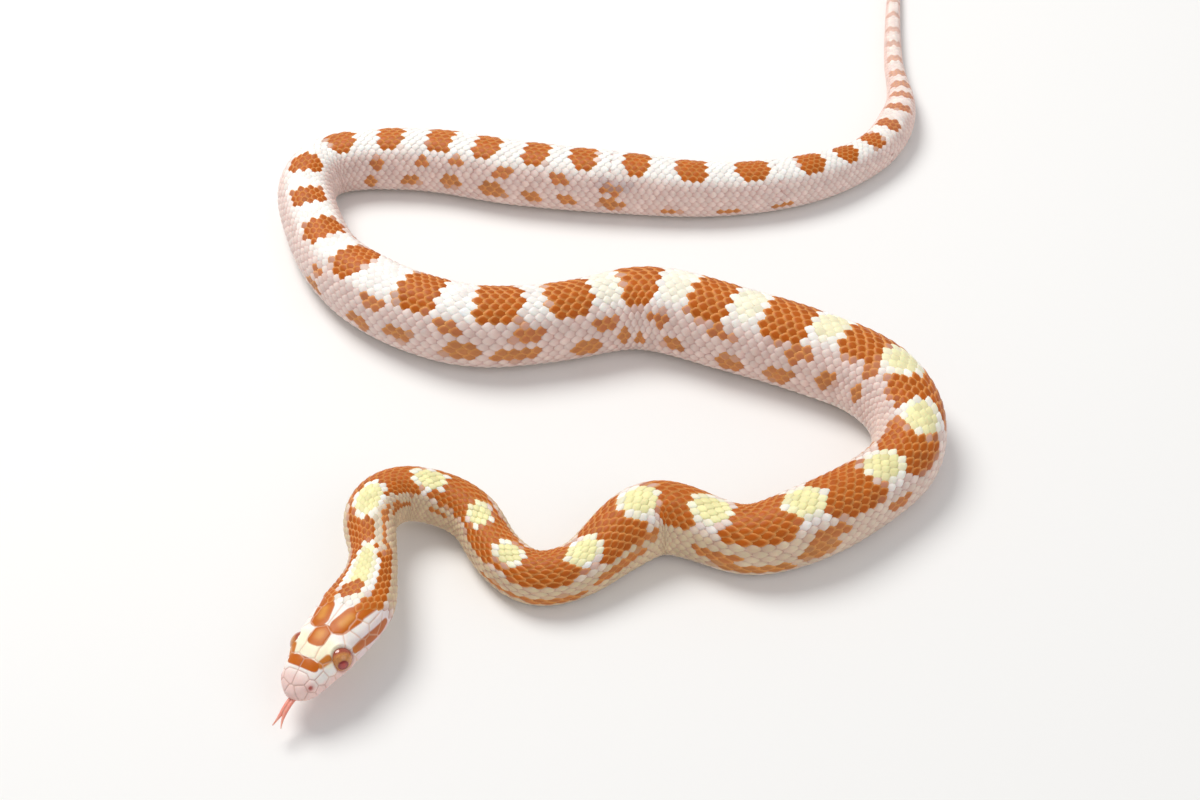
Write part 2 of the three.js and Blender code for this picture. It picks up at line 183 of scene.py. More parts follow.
# Colours, as sRGB hex
SADDLE_ORANGE = "B85A08"
SADDLE_EDGE = "EDA860"
FLANK_ORANGE = "C06618"
OCHRE = "BE7028"
SPOT_YELLOW = "F6EEAC"
SPOT_WHITE = "FFFAF3"
FLANK_CREAM = "DCC7A2"
FLANK_PINK = "ECD7CE"
# Pink of the bare skin between the scales, also used as the painted shade at the base of each pale scale
BARE_SKIN_AND_SHADE_PINK = "CC978F"
BELLY_WHITE = "F4E9E0"
PLATE_ORANGE = "C4640F"
PLATE_GLOW = "E09A45"
PLATE_OUTLINE = "B4561C"
ARM_OCHRE = "CB7A30"
HEAD_WHITE = "F9F1EA"
HEAD_YELLOW = "FBF2D2"
SNOUT_PINK = "F4D3CB"
CHEEK_LILAC = "EDDCDD"
SUTURE = "E6B79A"
SUTURE_GREY = "C9A9A2"
NOSTRIL_RED = "C96A62"
MOUTH_SHADE = "C98F86"
TAIL_PINK = "F3D6CB"
SMUDGE_GREY = "A9A3A6"
TONGUE_PINK = "EE9C8A"
TONGUE_TIP = "F4B9A4"
IRIS = "CC8544"
IRIS_RIM = "A84A30"
PUPIL = "B42A20"
PUPIL_EDGE = "86120E"
FLOOR_WHITE = "F4F3F1"


def smooth(pairs, at):
    """A smooth value through (place, value) pairs, kept from overshooting."""
    x, y = np.array(pairs, float).T
    rise = np.diff(y) / np.diff(x)
    slope = np.zeros_like(y)
    before, after = rise[:-1], rise[1:]
    total = np.where(before + after == 0, 1, before + after)
    slope[1:-1] = np.where(before * after > 0, 2 * before * after / total, 0)
    at = np.clip(np.asarray(at, float), x[0], x[-1])
    i = np.clip(np.searchsorted(x, at, side="right") - 1, 0, len(x) - 2)
    span = x[i + 1] - x[i]
    t = (at - x[i]) / span
    return (
        (1 + 2 * t) * (1 - t) ** 2 * y[i]
        + t * (1 - t) ** 2 * span * slope[i]
        + t * t * (3 - 2 * t) * y[i + 1]
        + t * t * (t - 1) * span * slope[i + 1]
    )


def step(value, low, high):
    """0 below low, 1 above high and a smooth rise between."""
    t = np.clip((value - low) / (high - low), 0, 1)
    return t * t * (3 - 2 * t)


def fade(value, low, high):
    """1 below low, 0 above high and a smooth fall between."""
    return 1 - step(value, low, high)


def bell(value, width):
    """1 where the value is nought, and next to nothing two widths away."""
    return np.exp(-((value / width) ** 2))


def spline_through(points, per_span=120):
    """A centripetal Catmull-Rom curve, sampled."""
    ends = np.vstack([2 * points[0] - points[1], points, 2 * points[-1] - points[-2]])
    t = np.linspace(0, 1, per_span, endpoint=False)[:, None]
    spans = []
    for k in range(1, len(ends) - 2):
        p0, p1, p2, p3 = ends[k - 1 : k + 3]
        d0, d1, d2 = [math.sqrt(np.linalg.norm(b - a)) for a, b in ((p0, p1), (p1, p2), (p2, p3))]
        m1 = ((p1 - p0) / d0 - (p2 - p0) / (d0 + d1) + (p2 - p1) / d1) * d1
        m2 = ((p2 - p1) / d1 - (p3 - p1) / (d1 + d2) + (p3 - p2) / d2) * d1
        spans.append(
            (2 * t**3 - 3 * t**2 + 1) * p1
            + (t**3 - 2 * t**2 + t) * m1
            + (3 * t**2 - 2 * t**3) * p2
            + (t**3 - t**2) * m2
        )
    return np.vstack(spans + [points[-1:]])


LINE = spline_through(np.array(ROUTE, float) - ROUTE_ORIGIN)
LINE_AT = np.r_[0, np.cumsum(np.linalg.norm(np.diff(LINE, axis=0), axis=1))]


def line_point(along):
    """A point of the route; past its ends it goes straight on."""
    held = np.clip(along, 0, LINE_AT[-1])
    point = np.stack([np.interp(held, LINE_AT, LINE[:, k]) for k in (0, 1)], -1)
    first, last = [(a - b) / np.linalg.norm(a - b) for a, b in ((LINE[1], LINE[0]), (LINE[-1], LINE[-2]))]
    past = along - held
    return point + np.where(past < 0, past, 0)[:, None] * first + np.where(past > 0, past, 0)[:, None] * last


def route_point(along):
    """A point of the route with its bends eased."""
    along = np.atleast_1d(np.asarray(along, float))
    return sum(w / 16 * line_point(along + (i - 2) * EASING_STEP) for i, w in enumerate(EASING))


def frames(along):
    """Foot, direction to the right, up and to the rear of the sections at these distances."""
    along = np.atleast_1d(np.asarray(along, float))
    foot = np.c_[route_point(along), smooth(LIFT, along)]
    rear = np.c_[
        route_point(along + 0.5) - route_point(along - 0.5),
        smooth(LIFT, along + 0.5) - smooth(LIFT, along - 0.5),
    ]
    right = np.c_[-rear[:, 1], rear[:, 0], 0 * along]
    right /= np.linalg.norm(right, axis=1)[:, None]
    rear /= np.linalg.norm(rear, axis=1)[:, None]
    up = np.cross(rear, right)
    lean = -np.radians(smooth(LEAN, along))[:, None]
    middle = foot + LEAN_ABOUT * up
    right, up = (
        right * np.cos(lean) + np.cross(rear, right) * np.sin(lean),
        up * np.cos(lean) + np.cross(rear, up) * np.sin(lean),
    )
    return middle - LEAN_ABOUT * up, right, up, rear


def place(along, out, high):
    """Points from distance along, distance to the right and height in the section."""
    foot, right, up, rear = frames(np.maximum(along, 0))
    ahead = np.minimum(np.atleast_1d(along), 0)[:, None]
    return foot + rear * ahead + right * np.asarray(out)[..., None] + up * np.asarray(high)[..., None]


def signed_power(value, exponent):
    """A power that keeps the value's sign."""
    return np.sign(value) * np.abs(value) ** exponent


def closing(along, start):
    """The snout's rounding: 0 where it starts and 1 where it is done."""
    t = np.clip((along - start) / SNOUT_ROUNDING, 0, 1)
    return (1 - (1 - t) ** SNOUT_POWER) ** (1 / SNOUT_POWER)


def sections(along, turns):
    """Out and high of every section point: head, body and the change between them."""
    a = np.asarray(along, float)[:, None]
    sine, cosine = np.sin(turns)[None], np.cos(turns)[None]
    above = cosine > 0
    width = smooth(GIRTH, a)
    height = width * BODY_HEIGHT
    widest = height * WIDEST_AT
    power = np.where(above, 2 / BACK_SQUARE, 2 / BELLY_SQUARE)
    body_out = width / 2 * signed_power(sine, power)
    reach = np.where(above, height - widest, widest * 1.03)
    body_high = np.maximum(0, widest + reach * signed_power(cosine, power))
    h = np.minimum(a, HEAD_LENGTH + 2)
    square = SNOUT_SQUARE + (JOWL_SQUARE - SNOUT_SQUARE) * step(h, 9, 24)
    upper = closing(h, 0)
    lower = np.minimum(upper, closing(h, JAW_SETBACK))
    low = smooth(HEAD_WIDEST, h)
    limit = np.where(above, smooth(HEAD_CROWN, h), smooth(HEAD_CHIN, h))
    head_high = low + (limit - low) * np.abs(signed_power(cosine, 2 / square)) * upper
    head_out = smooth(HEAD_HALF, h) * signed_power(sine, 2 / square)
    inset = JAW_INSET + (1 - JAW_INSET) * step(h, 14, 21)
    below = 1 - step(head_high - smooth(HEAD_MOUTH, h), -0.12, 0.12)
    head_out = head_out * (upper + (lower * inset - upper) * below)
    blend = step(a, HEAD_LENGTH - 2, HEAD_LENGTH + 7)
    return head_out + (body_out - head_out) * blend, head_high + (body_high - head_high) * blend


def even_round(out, high, count):
    """Each outline resampled evenly, from the middle of the belly round by the right side or the left."""
    closed_out, closed_high = [np.c_[v, v[:, :1]] for v in (out, high)]
    lengths = np.c_[
        0 * out[:, :1],
        np.cumsum(np.hypot(np.diff(closed_out), np.diff(closed_high)), 1),
    ]
    rounds = np.linspace(-0.5, 0.5, count, endpoint=False)
    even = [np.empty((len(out), count)) for _ in (0, 1)]
    for r in range(len(out)):
        at = (rounds % 1.0) * lengths[r, -1]
        even[0][r] = np.interp(at, lengths[r], closed_out[r])
        even[1][r] = np.interp(at, lengths[r], closed_high[r])
    return rounds, even[0], even[1], lengths[:, -1]


TURNS = np.linspace(0, 2 * math.pi, 480, endpoint=False)


class Hide:
    """The skin's surface as a grid of distance and place round the body, with its normals."""

    def __init__(self, along, count):
        self.along = along
        out, high = sections(along, TURNS)
        self.rounds, self.out, self.high, self.girth = even_round(out, high, count)
        foot, right, up, _ = frames(along)
        across = right[:, None] * self.out[..., None]
        self.points = foot[:, None] + across + up[:, None] * self.high[..., None]
        around = np.roll(self.points, -1, 1) - np.roll(self.points, 1, 1)
        down_body = np.gradient(self.points, along, axis=0)
        normal = np.cross(down_body, around)
        middle = self.points.mean(1, keepdims=True)
        normal *= np.sign((normal * (self.points - middle)).sum(2))[..., None]
        self.normals = normal / np.maximum(np.linalg.norm(normal, axis=2), 1e-9)[..., None]

    def look(self, along, rounds):
        """Points and normals at any distances and places round the body."""
        found = self.between((self.points, self.normals), along, rounds)
        return found[0], found[1] / np.maximum(np.linalg.norm(found[1], axis=-1), 1e-9)[..., None]

    def local(self, along, rounds):
        """Distance along, out and high at any distances and places round the body."""
        out, high = self.between((self.out[..., None], self.high[..., None]), along, rounds)
        return np.stack([along, out[..., 0], high[..., 0]], -1)

    def between(self, grids, along, rounds):
        r = np.clip(np.interp(along, self.along, np.arange(len(self.along))), 0, len(self.along) - 1.001)
        count = len(self.rounds)
        c = ((rounds + 0.5) % 1.0) * count
        r0, c0 = r.astype(int), c.astype(int) % count
        fr, fc = (r - r0)[..., None], (c - np.floor(c))[..., None]
        c1 = (c0 + 1) % count
        found = []
        for grid in grids:
            near = grid[r0, c0] * (1 - fc) + grid[r0, c1] * fc
            far = grid[r0 + 1, c0] * (1 - fc) + grid[r0 + 1, c1] * fc
            found.append(near * (1 - fr) + far * fr)
        return found


def linear(colour):
    """A colour as linear red, green and blue: an sRGB hex value is changed, a linear one is kept."""
    if not isinstance(colour, str):
        return np.array(colour, float)
    srgb = np.array([int(colour[i : i + 2], 16) / 255 for i in (0, 2, 4)])
    return np.where(srgb <= 0.04045, srgb / 12.92, ((srgb + 0.055) / 1.055) ** 2.4)


def plain(colour, shape):
    """An array of one colour."""
    return np.broadcast_to(linear(colour), (*shape, 3)).copy()


def tint(base, colour, amount):
    """The base colours moved toward one colour by an amount for each."""
    amount = np.clip(amount, 0, 1)[..., None]
    return base * (1 - amount) + linear(colour) * amount


def blot(along, rounds, marks, edge=0.12, power=2.4):
    """How far inside any of these rounded marks each place lies, from 0 to 1."""
    inside = np.zeros(np.broadcast(along, rounds).shape)
    for s, q, half, reach in marks:
        far = np.abs((along - s) / half) ** power + np.abs((rounds - q) / reach) ** power
        inside = np.maximum(inside, fade(far, 1 - edge, 1 + edge))
    return inside


def listed(centres, half, reach):
    """Marks on the middle of the back, with their half lengths and reaches read from tables."""
    return [(s, 0.0, float(smooth(half, s)), float(smooth(reach, s))) for s in centres]


def both_flanks(marks):
    """The near flank's marks and the same on the far one, moved half a saddle along."""
    return marks + tuple((s + HALF_SADDLE, -q, half, reach) for s, q, half, reach in marks)


SADDLE_MARKS = listed(SADDLES, SADDLE_HALF, SADDLE_REACH)
SPOT_MARKS = listed(SPOTS, SPOT_HALF, SPOT_REACH)
YELLOW_MARKS = [(s, q, half * 0.84, reach * 0.82) for s, q, half, reach in SPOT_MARKS]
FLANK_MARKS = both_flanks(FLANK_BLOTCHES)
EDGE_MARKS = both_flanks(EDGE_BLOTCHES)


def markings(along, rounds, tones):
    """The corn snake's colours behind the head, with how orange each place is."""
    q = np.abs(rounds)
    on_tail = step(along, *TAIL_ROOT)
    colour = plain(tones.flank, np.broadcast(along, rounds).shape)
    colour = tint(colour, tones.front_flank, fade(along, *FRONT_THIRD) * step(q, *CREAM_EDGE))
    colour = tint(colour, TAIL_PINK, on_tail)
    colour = tint(colour, tones.back, fade(q, *BACK_EDGE) * (1 - 0.6 * on_tail))
    colour = tint(colour, BELLY_WHITE, step(q, *BELLY_EDGE))
    saddle = blot(along, rounds, SADDLE_MARKS, power=2.8)
    spot = blot(along, rounds, SPOT_MARKS)
    streak = blot(along, rounds, PALE_STREAKS, power=2.0)
    # An orange stripe runs down each side of the nape, narrower on the right
    nape_sides = fade(along, 38, 44) * step(along, 18, 21) * fade(np.abs(q - 0.14), 0.04, 0.055)
    nape_sides = nape_sides * (1 - step(rounds, 0.13, 0.15) * step(along, 26, 29))
    saddle = np.maximum(saddle * (1 - spot) * step(along, 24, 30), nape_sides) * (1 - streak)
    saddle = saddle * (1 - 0.55 * step(along, *TAIL_FADE))
    flank = blot(along, rounds, FLANK_MARKS, power=2.0)
    edge = blot(along, rounds, EDGE_MARKS, power=2.0)
    colour = tint(colour, tones.front_flank, streak * 0.75)
    # Each spot is yellow in its middle and white round it, and they grow paler down the body
    colour = tint(colour, tones.back, spot)
    yellow = blot(along, rounds, YELLOW_MARKS, edge=0.6)
    colour = tint(colour, tones.spot, yellow * (0.95 - 0.7 * step(along, *SPOTS_PALE)))
    colour = tint(colour, OCHRE, edge * 0.92)
    colour = tint(colour, tones.flank_blotch, flank * 0.9)
    colour = tint(colour, tones.saddle, saddle)
    # A grey smudge at half strength on the rear third's left flank
    colour = tint(colour, SMUDGE_GREY, blot(along, rounds, [GREY_SMUDGE], edge=0.4) * 0.5)
    return colour, np.maximum(saddle, 0.8 * np.maximum(flank, edge))


# The head's plates, each with its seeds as distance along, out and high. Sides are mirrored
PLATES = {
    "rostral": ((0.1, 0, 3.6),),
    "internasal": ((3.1, 1.2, 6.0),),
    "front_nasal": ((1.1, 2.3, 4.2),),
    "rear_nasal": ((2.9, 3.4, 4.4),),
    "prefrontal": ((5.1, 1.3, 6.8), (5.1, 2.9, 6.3)),
    "loreal": ((5.1, 4.2, 4.7),),
    "preocular": ((7.4, 4.9, 5.2),),
    "frontal": ((8.3, 0, 7.7), (9.7, 0, 8.0), (11.3, 0, 8.2)),
    "supraocular": ((8.8, 3.3, 7.3), (11.2, 3.6, 7.6)),
    "upper_postocular": ((13.4, 5.4, 6.6),),
    "lower_postocular": ((13.4, 6.1, 5.0),),
    "parietal": ((14.4, 2.0, 8.4), (16.2, 2.2, 8.5), (17.8, 1.7, 8.6)),
    "front_temporal": ((16.0, 5.4, 7.0),),
    "rear_temporal": ((18.8, 5.0, 7.5),),
    "low_temporal": ((18.4, 6.9, 5.4),),
    "mental": ((0.5, 0, 1.5),),
    "front_chin": ((4.0, 1.1, 0.3), (6.0, 1.1, 0.1)),
    "rear_chin": ((8.5, 1.0, 0), (10.5, 1.2, 0)),
}
UPPER_LABIALS = (1.9, 3.9, 6.1, 8.5, 11.0, 13.6, 16.3, 19.2)
LOWER_LABIALS = (1.5, 3.2, 5.1, 7.2, 9.5, 11.9, 14.4, 17.0)
LABIAL_RISE = 0.85
LABIAL_DROP = 0.95
LOWER_LABIAL_OUT = 0.88
# Streaks on the crown, from one (along, out) place to another, with the inner and outer reach of their edge
EYE_ARM = ((6.6, 3.3), (8.3, 3.9), 0.45, 0.8)
PARIETAL_BLOTCH = ((14.4, 2.3), (17.2, 3.1), 1.75, 2.0)
NAPE_ARM = ((17.4, 3.3), (22.5, 4.7), 1.3, 1.65)
PARIETAL_GLOW = ((15.0, 2.4), (16.8, 2.9), 0.1, 1.4)
FRONTAL_AT = 11.4
BAND_AT = 5.75
# The stripe behind each eye: where it starts, its length, its height there and its fall to the jaw corner
STRIPE_AT = 12.9
STRIPE_LENGTH = 7.0
STRIPE_HIGH = 5.15
STRIPE_FALL = 0.75
FAR = 1e9


def plate_seeds():
    """Every seed on both sides of the head, with the number of the plate that it belongs to."""
    rows = list(PLATES.values())
    for s in UPPER_LABIALS:
        rows.append(((s, float(smooth(HEAD_HALF, s)), float(smooth(HEAD_MOUTH, s)) + LABIAL_RISE),))
    for s in LOWER_LABIALS:
        out = float(smooth(HEAD_HALF, s)) * LOWER_LABIAL_OUT
        rows.append(((s, out, float(smooth(HEAD_MOUTH, s)) - LABIAL_DROP),))
    seeds, owners = [], []
    owner = 0
    for points in rows:
        on_middle = all(point[1] == 0 for point in points)
        for side in (1,) if on_middle else (1, -1):
            seeds += [(s, out * side, high) for s, out, high in points]
            owners += [owner] * len(points)
            owner += 1
    return np.array(seeds), np.array(owners)


def plate_edges(local):
    """Distance in mm from each point to the nearest edge between two head plates."""
    seeds, owners = plate_seeds()
    nearest, second = [np.full(local.shape[:-1], FAR) for _ in (0, 1)]
    nearest_at, second_at = [np.zeros(local.shape) for _ in (0, 1)]
    for owner in np.unique(owners):
        best = np.full(local.shape[:-1], FAR)
        best_at = np.zeros(local.shape)
        for seed in seeds[owners == owner]:
            far = ((local - seed) ** 2).sum(-1)
            closer = far < best
            best = np.where(closer, far, best)
            best_at[closer] = seed
        first = best < nearest
        runner = (~first) & (best < second)
        second = np.where(first, nearest, np.where(runner, best, second))
        second_at[first] = nearest_at[first]
        second_at[runner] = best_at[runner]
        nearest = np.where(first, best, nearest)
        nearest_at[first] = best_at[first]
    apart = np.maximum(np.linalg.norm(nearest_at - second_at, axis=-1), 1e-3)
    return (second - nearest) / (2 * apart)


def crown_streak(local, start, end, inner, outer):
    """How far inside a streak on the crown each point lies, from 0 to 1."""
    start, end = np.array(start, float), np.array(end, float)
    flat = np.stack([local[..., 0], np.abs(local[..., 1])], -1)
    run = end - start
    t = np.clip(((flat - start) @ run) / (run @ run), 0, 1)[..., None]
    return fade(np.linalg.norm(flat - start - t * run, axis=-1), inner, outer)


def head_markings(local, tones):
    """The head's colours, from distance along, out and high."""
    along, out, high = np.minimum(local[..., 0], HEAD_LENGTH - 3), local[..., 1], local[..., 2]
    side = np.abs(out)
    top = step(high, 5.2, 6.4)
    colour = plain(tones.head, along.shape)
    colour = tint(colour, SNOUT_PINK, 1 - step(along, 2.2, 5.0) * step(high, 3.0, 5.0))
    colour = tint(colour, SNOUT_PINK, fade(high, 3.4, 4.8) * fade(along, 9, 14) * 0.8)
    colour = tint(colour, CHEEK_LILAC, fade(high, 6.2, 7.4) * step(along, 11, 14) * 0.7)
    # The yellow band between the eyes, and the yellow of the nape
    colour = tint(colour, HEAD_YELLOW, top * step(along, 6.6, 7.2) * fade(along, 10.5, 12) * 0.9)
    colour = tint(colour, HEAD_YELLOW, step(along, 19, 22) * fade(side, 2.2, 3.2) * 0.8)
    # Orange over the rear of the prefrontals, with an arm down to the front of each eye
    band = fade(np.abs((along - BAND_AT) / 1.05) ** 2.6 + (side / 3.4) ** 5, 0.8, 1.1)
    band = band * step(high, 4.5, 5.2)
    arm = crown_streak(local, *EYE_ARM) * step(high, 4.8, 5.4)
    # The frontal's rear, a rounded hexagon
    wide = np.maximum(2.0 - 0.14 * (along - 11), 0.5)
    frontal = fade(np.abs((along - FRONTAL_AT) / 2.2) ** 2.6 + (side / wide) ** 2.6, 0.85, 1.1)
    # One blotch on each parietal, running back and out to join the neck's side stripe
    blotch = np.maximum(crown_streak(local, *PARIETAL_BLOTCH), crown_streak(local, *NAPE_ARM))
    # The stripe behind each eye swells in its middle
    back = np.clip((along - STRIPE_AT) / STRIPE_LENGTH, 0, 1)
    off_line = np.hypot(along - STRIPE_AT - STRIPE_LENGTH * back, high - STRIPE_HIGH + STRIPE_FALL * back)
    stripe = fade(off_line / (0.7 + 0.3 * np.sin(3 * back)), 0.85, 1.15) * step(side, 3.5, 4.5)
    orange = np.maximum.reduce([band, frontal * top, blotch * top, stripe * 0.92])
    colour = tint(colour, ARM_OCHRE, arm)
    colour = tint(colour, tones.head_blotch, orange)
    outline = np.clip(4 * orange * (1 - orange), 0, 1)
    colour = tint(colour, PLATE_OUTLINE, outline * 0.5)
    colour = tint(colour, ARM_OCHRE, stripe * fade(along, 12.6, 14.4) * 0.8)
    # The blotches are lighter in their middles
    glow = np.maximum(fade(np.hypot(along - FRONTAL_AT, out), 0.2, 1.7), crown_streak(local, *PARIETAL_GLOW))
    colour = tint(colour, PLATE_GLOW, glow * orange * top * 0.8)
    return colour, orange


def surface_colours(along, rounds, local, tones):
    """The colour and orange share at any place of the skin, head and body together."""
    body, body_orange = markings(along, rounds - smooth(TWIST, along), tones)
    head, head_orange = head_markings(local, tones)
    blend = step(along, *HEAD_TO_BODY)
    colour = head * (1 - blend)[..., None] + body * blend[..., None]
    nape = blot(along, rounds, [NAPE_SPOT])
    orange = np.maximum(head_orange * (1 - blend) + body_orange * blend, nape)
    return tint(colour, tones.saddle, nape), orange


def wobble(count, seed):
    """Small random differences, the same each run."""
    return np.random.default_rng(seed).normal(0, 1, count)


def mesh_object(name, points, faces, colours=None, atlas=None, smooth_shaded=True):
    """A mesh object from points in mm, with a colour for each point in Markings and its unwrap in OFBake."""
    mesh = bpy.data.meshes.new(name)
    faces = np.asarray(faces, np.int32)
    mesh.vertices.add(len(points))
    mesh.vertices.foreach_set("co", (np.asarray(points, float) * MM).ravel())
    mesh.loops.add(faces.size)
    mesh.loops.foreach_set("vertex_index", faces.ravel())
    mesh.polygons.add(len(faces))
    mesh.polygons.foreach_set("loop_start", np.arange(0, faces.size, faces.shape[1], dtype=np.int32))
    mesh.update(calc_edges=True)
    mesh.validate()
    mesh.polygons.foreach_set("use_smooth", np.full(len(mesh.polygons), smooth_shaded))
    if atlas is not None:
        layer = mesh.uv_layers.new(name="OFBake")
        corners = np.empty(len(mesh.loops), np.int32)
        mesh.loops.foreach_get("vertex_index", corners)
        layer.data.foreach_set("uv", np.asarray(atlas, np.float32)[corners].ravel())
    if colours is not None:
        layer = mesh.color_attributes.new(name="Markings", type="FLOAT_COLOR", domain="POINT")
        layer.data.foreach_set("color", np.c_[colours, np.ones(len(points))].astype(np.float32).ravel())
    thing = bpy.data.objects.new(name, mesh)
    bpy.context.scene.collection.objects.link(thing)
    return thing


def grid_faces(rings, sides):
    """Quads of a tube of rings."""
    r, c = np.meshgrid(np.arange(rings - 1), np.arange(sides), indexing="ij")
    a, b = r * sides + c, r * sides + (c + 1) % sides
    return np.stack([a, b, b + sides, a + sides], -1).reshape(-1, 4)


def end_fans(rings, sides):
    """Triangles from a tube's first and last ring to the two points that follow its rings."""
    c = np.arange(sides)
    d = (c + 1) % sides
    base = (rings - 1) * sides
    first = np.stack([d, c, np.full_like(c, rings * sides)], -1)
    last = np.stack([base + c, base + d, np.full_like(c, rings * sides + 1)], -1)
    return np.vstack([first, last]).tolist()


def close_mesh(thing, polygons, smooth_shaded=True):
    """Adds the faces that close a mesh and turns every face outward."""
    work = bmesh.new()
    work.from_mesh(thing.data)
    work.verts.ensure_lookup_table()
    for polygon in polygons:
        work.faces.new([work.verts[corner] for corner in polygon]).smooth = smooth_shaded
    bmesh.ops.recalc_face_normals(work, faces=work.faces)
    work.to_mesh(thing.data)
    work.free()


# The unwrap of the whole animal: its length folded into bands, its round laid across each band
ATLAS_BANDS = 8
ATLAS_MARGIN = 0.01
ATLAS_PATCH = 0.003


def atlas_place(along, rounds):
    """Where a place of the skin lies on the unwrap."""
    share = np.clip(along / BODY_LENGTH, 0, 0.99999) * ATLAS_BANDS
    band = np.floor(share)
    u = ATLAS_MARGIN + (share - band) * (1 - 2 * ATLAS_MARGIN)
    across = ((rounds + 0.5) % 1.0) * (1 - 2 * ATLAS_MARGIN) + ATLAS_MARGIN
    return np.stack([u, (band + across) / ATLAS_BANDS], -1)


def skin_inset(along, depth):
    """How far the skin lies under the scales' outside: nothing on the head's plates."""
    return depth * step(along, 19, 25)


# How far the head's features stand out or sink, in mm
PLATE_CROWN = 0.07
GROOVE_DEPTH = 0.1
MOUTH_DEPTH = 0.34
LIP_HEIGHT = 0.06
EYE_CREASE = 0.16
EYE_RIM = 0.1
SOCKET_DEPTH = 0.5
BROW_HEIGHT = 0.5
NOSTRIL_DEPTH = 0.4
CHIN_FOLD = 0.12


def head_relief(local):
    """Height in mm that the head's skin stands out at each point, and how much of each feature is there."""
    along, out, high = local[..., 0], local[..., 1], local[..., 2]
    side = np.abs(out)
    mirrored = np.stack([along, side, high], -1)
    on_plates = fade(along, 19.5, 21.5)
    edge = plate_edges(local)
    groove = bell(edge, 0.11) * on_plates
    height = PLATE_CROWN * (1 - np.exp(-edge / 0.55)) * on_plates - GROOVE_DEPTH * groove
    over_mouth = high - smooth(HEAD_MOUTH, along)
    mouth = bell(over_mouth, 0.16) * fade(along, JAW_CORNER - 0.6, JAW_CORNER + 0.4)
    lip = bell(over_mouth - 0.45, 0.35) * fade(along, JAW_CORNER - 2, JAW_CORNER)
    height = height - MOUTH_DEPTH * mouth + LIP_HEIGHT * lip
    eye_far = np.linalg.norm(mirrored - EYE, axis=-1) - EYE_RADIUS
    crease = bell(eye_far, 0.14)
    height = height - EYE_CREASE * crease + EYE_RIM * bell(eye_far - 0.38, 0.22)
    height = height - SOCKET_DEPTH * step(-eye_far, 0.05, 0.5)
    brow = bell(along - BROW[0], 2.5) * bell(side - BROW[1], 0.95) * bell(high - BROW[2], 1.1)
    height = height + BROW_HEIGHT * brow * step(eye_far, 0.1, 0.5)
    nostril = np.linalg.norm((mirrored - NOSTRIL) / (1.25, 1, 1), axis=-1) / NOSTRIL_RADIUS
    pit = fade(nostril, 0.45, 1.15)
    height = height - NOSTRIL_DEPTH * pit
    fold = bell(out, 0.14) * fade(high, 0.4, 1.0) * step(along, 3, 4) * fade(along, 12, 15)
    flush = fade(nostril, 0.8, 2.6)
    features = {"groove": groove, "mouth": mouth, "pit": pit, "flush": flush, "crease": crease}
    return height - CHIN_FOLD * fold, features


def node(tree, kind, links=(), **settings):
    """Adds a node, sets its properties and inputs, and links what comes in: {input: (node, output)}."""
    made = tree.nodes.new(kind)
    for key, value in settings.items():
        name = key.replace("_", " ")
        if hasattr(made, key):
            setattr(made, key, value)
        else:
            made.inputs[name if name in made.inputs else name.title()].default_value = value
    for target, (source, output) in dict(links).items():
        tree.links.new(source.outputs[output], made.inputs[target])
    return made


def material(name):
    """A material and its empty node tree."""
    made = bpy.data.materials.new(name)
    made.use_nodes = True
    made.node_tree.nodes.clear()
    return made, made.node_tree


def marked_material(name):
    """A material with the node that reads the markings, and the place on the object for its textures."""
    made, tree = material(name)
    marks = node(tree, "ShaderNodeVertexColor", layer_name="Markings")
    return made, tree, marks, {"Vector": (node(tree, "ShaderNodeTexCoord"), "Object")}


# What a noise texture's values mostly keep to
NOISE_SPAN = {"From_Min": 0.3, "From_Max": 0.7}


def keratin_material(name, looks, grain_mm, bump, roughness):
    """Keratin over living skin, grown in plates: smooth and a little waxy, so it takes a soft broad shine,
    and light goes a short way into the pale parts. Its colour comes from the markings."""
    made, tree, marks, where = marked_material(name)
    # Blotchy pigment about 2.6 mm wide, or two scales, so neighbouring scales differ a little
    clouds = node(tree, "ShaderNodeTexNoise", where, Scale=1 / (2.6 * MM), Detail=4.0, Roughness=0.6)
    spread = node(
        tree, "ShaderNodeMapRange", {"Value": (clouds, "Fac")}, **NOISE_SPAN,
        To_Min=1 - looks.pigment_spread, To_Max=1 + looks.pigment_spread,
    )
    mixed = {"Vector": (marks, "Color"), "Scale": (spread, "Result")}
    shaded = node(tree, "ShaderNodeVectorMath", mixed, operation="SCALE")
    # Fine grain, 0.2 to 0.3 mm, drawn coarser than real keratin's so that it shows
    grain = node(tree, "ShaderNodeTexNoise", where, Scale=1 / (grain_mm * MM), Detail=3.0, Roughness=0.55)
    gloss = node(
        tree, "ShaderNodeMapRange", {"Value": (grain, "Fac")}, **NOISE_SPAN,
        To_Min=roughness - 0.05, To_Max=roughness + 0.08,
    )
    relief = node(tree, "ShaderNodeBump", {"Height": (grain, "Fac")}, Strength=bump, Distance=0.05 * MM)
    surface = node(
        tree, "ShaderNodeBsdfPrincipled",
        {"Base Color": (shaded, "Vector"), "Roughness": (gloss, "Result"), "Normal": (relief, "Normal")},
        IOR=1.4, Specular_IOR_Level=looks.shine, Subsurface_Weight=looks.glow, Subsurface_Scale=0.5 * MM,
        Subsurface_Radius=(1.0, 0.45, 0.3),
    )
    node(tree, "ShaderNodeOutputMaterial", {"Surface": (surface, "BSDF")})
    return made


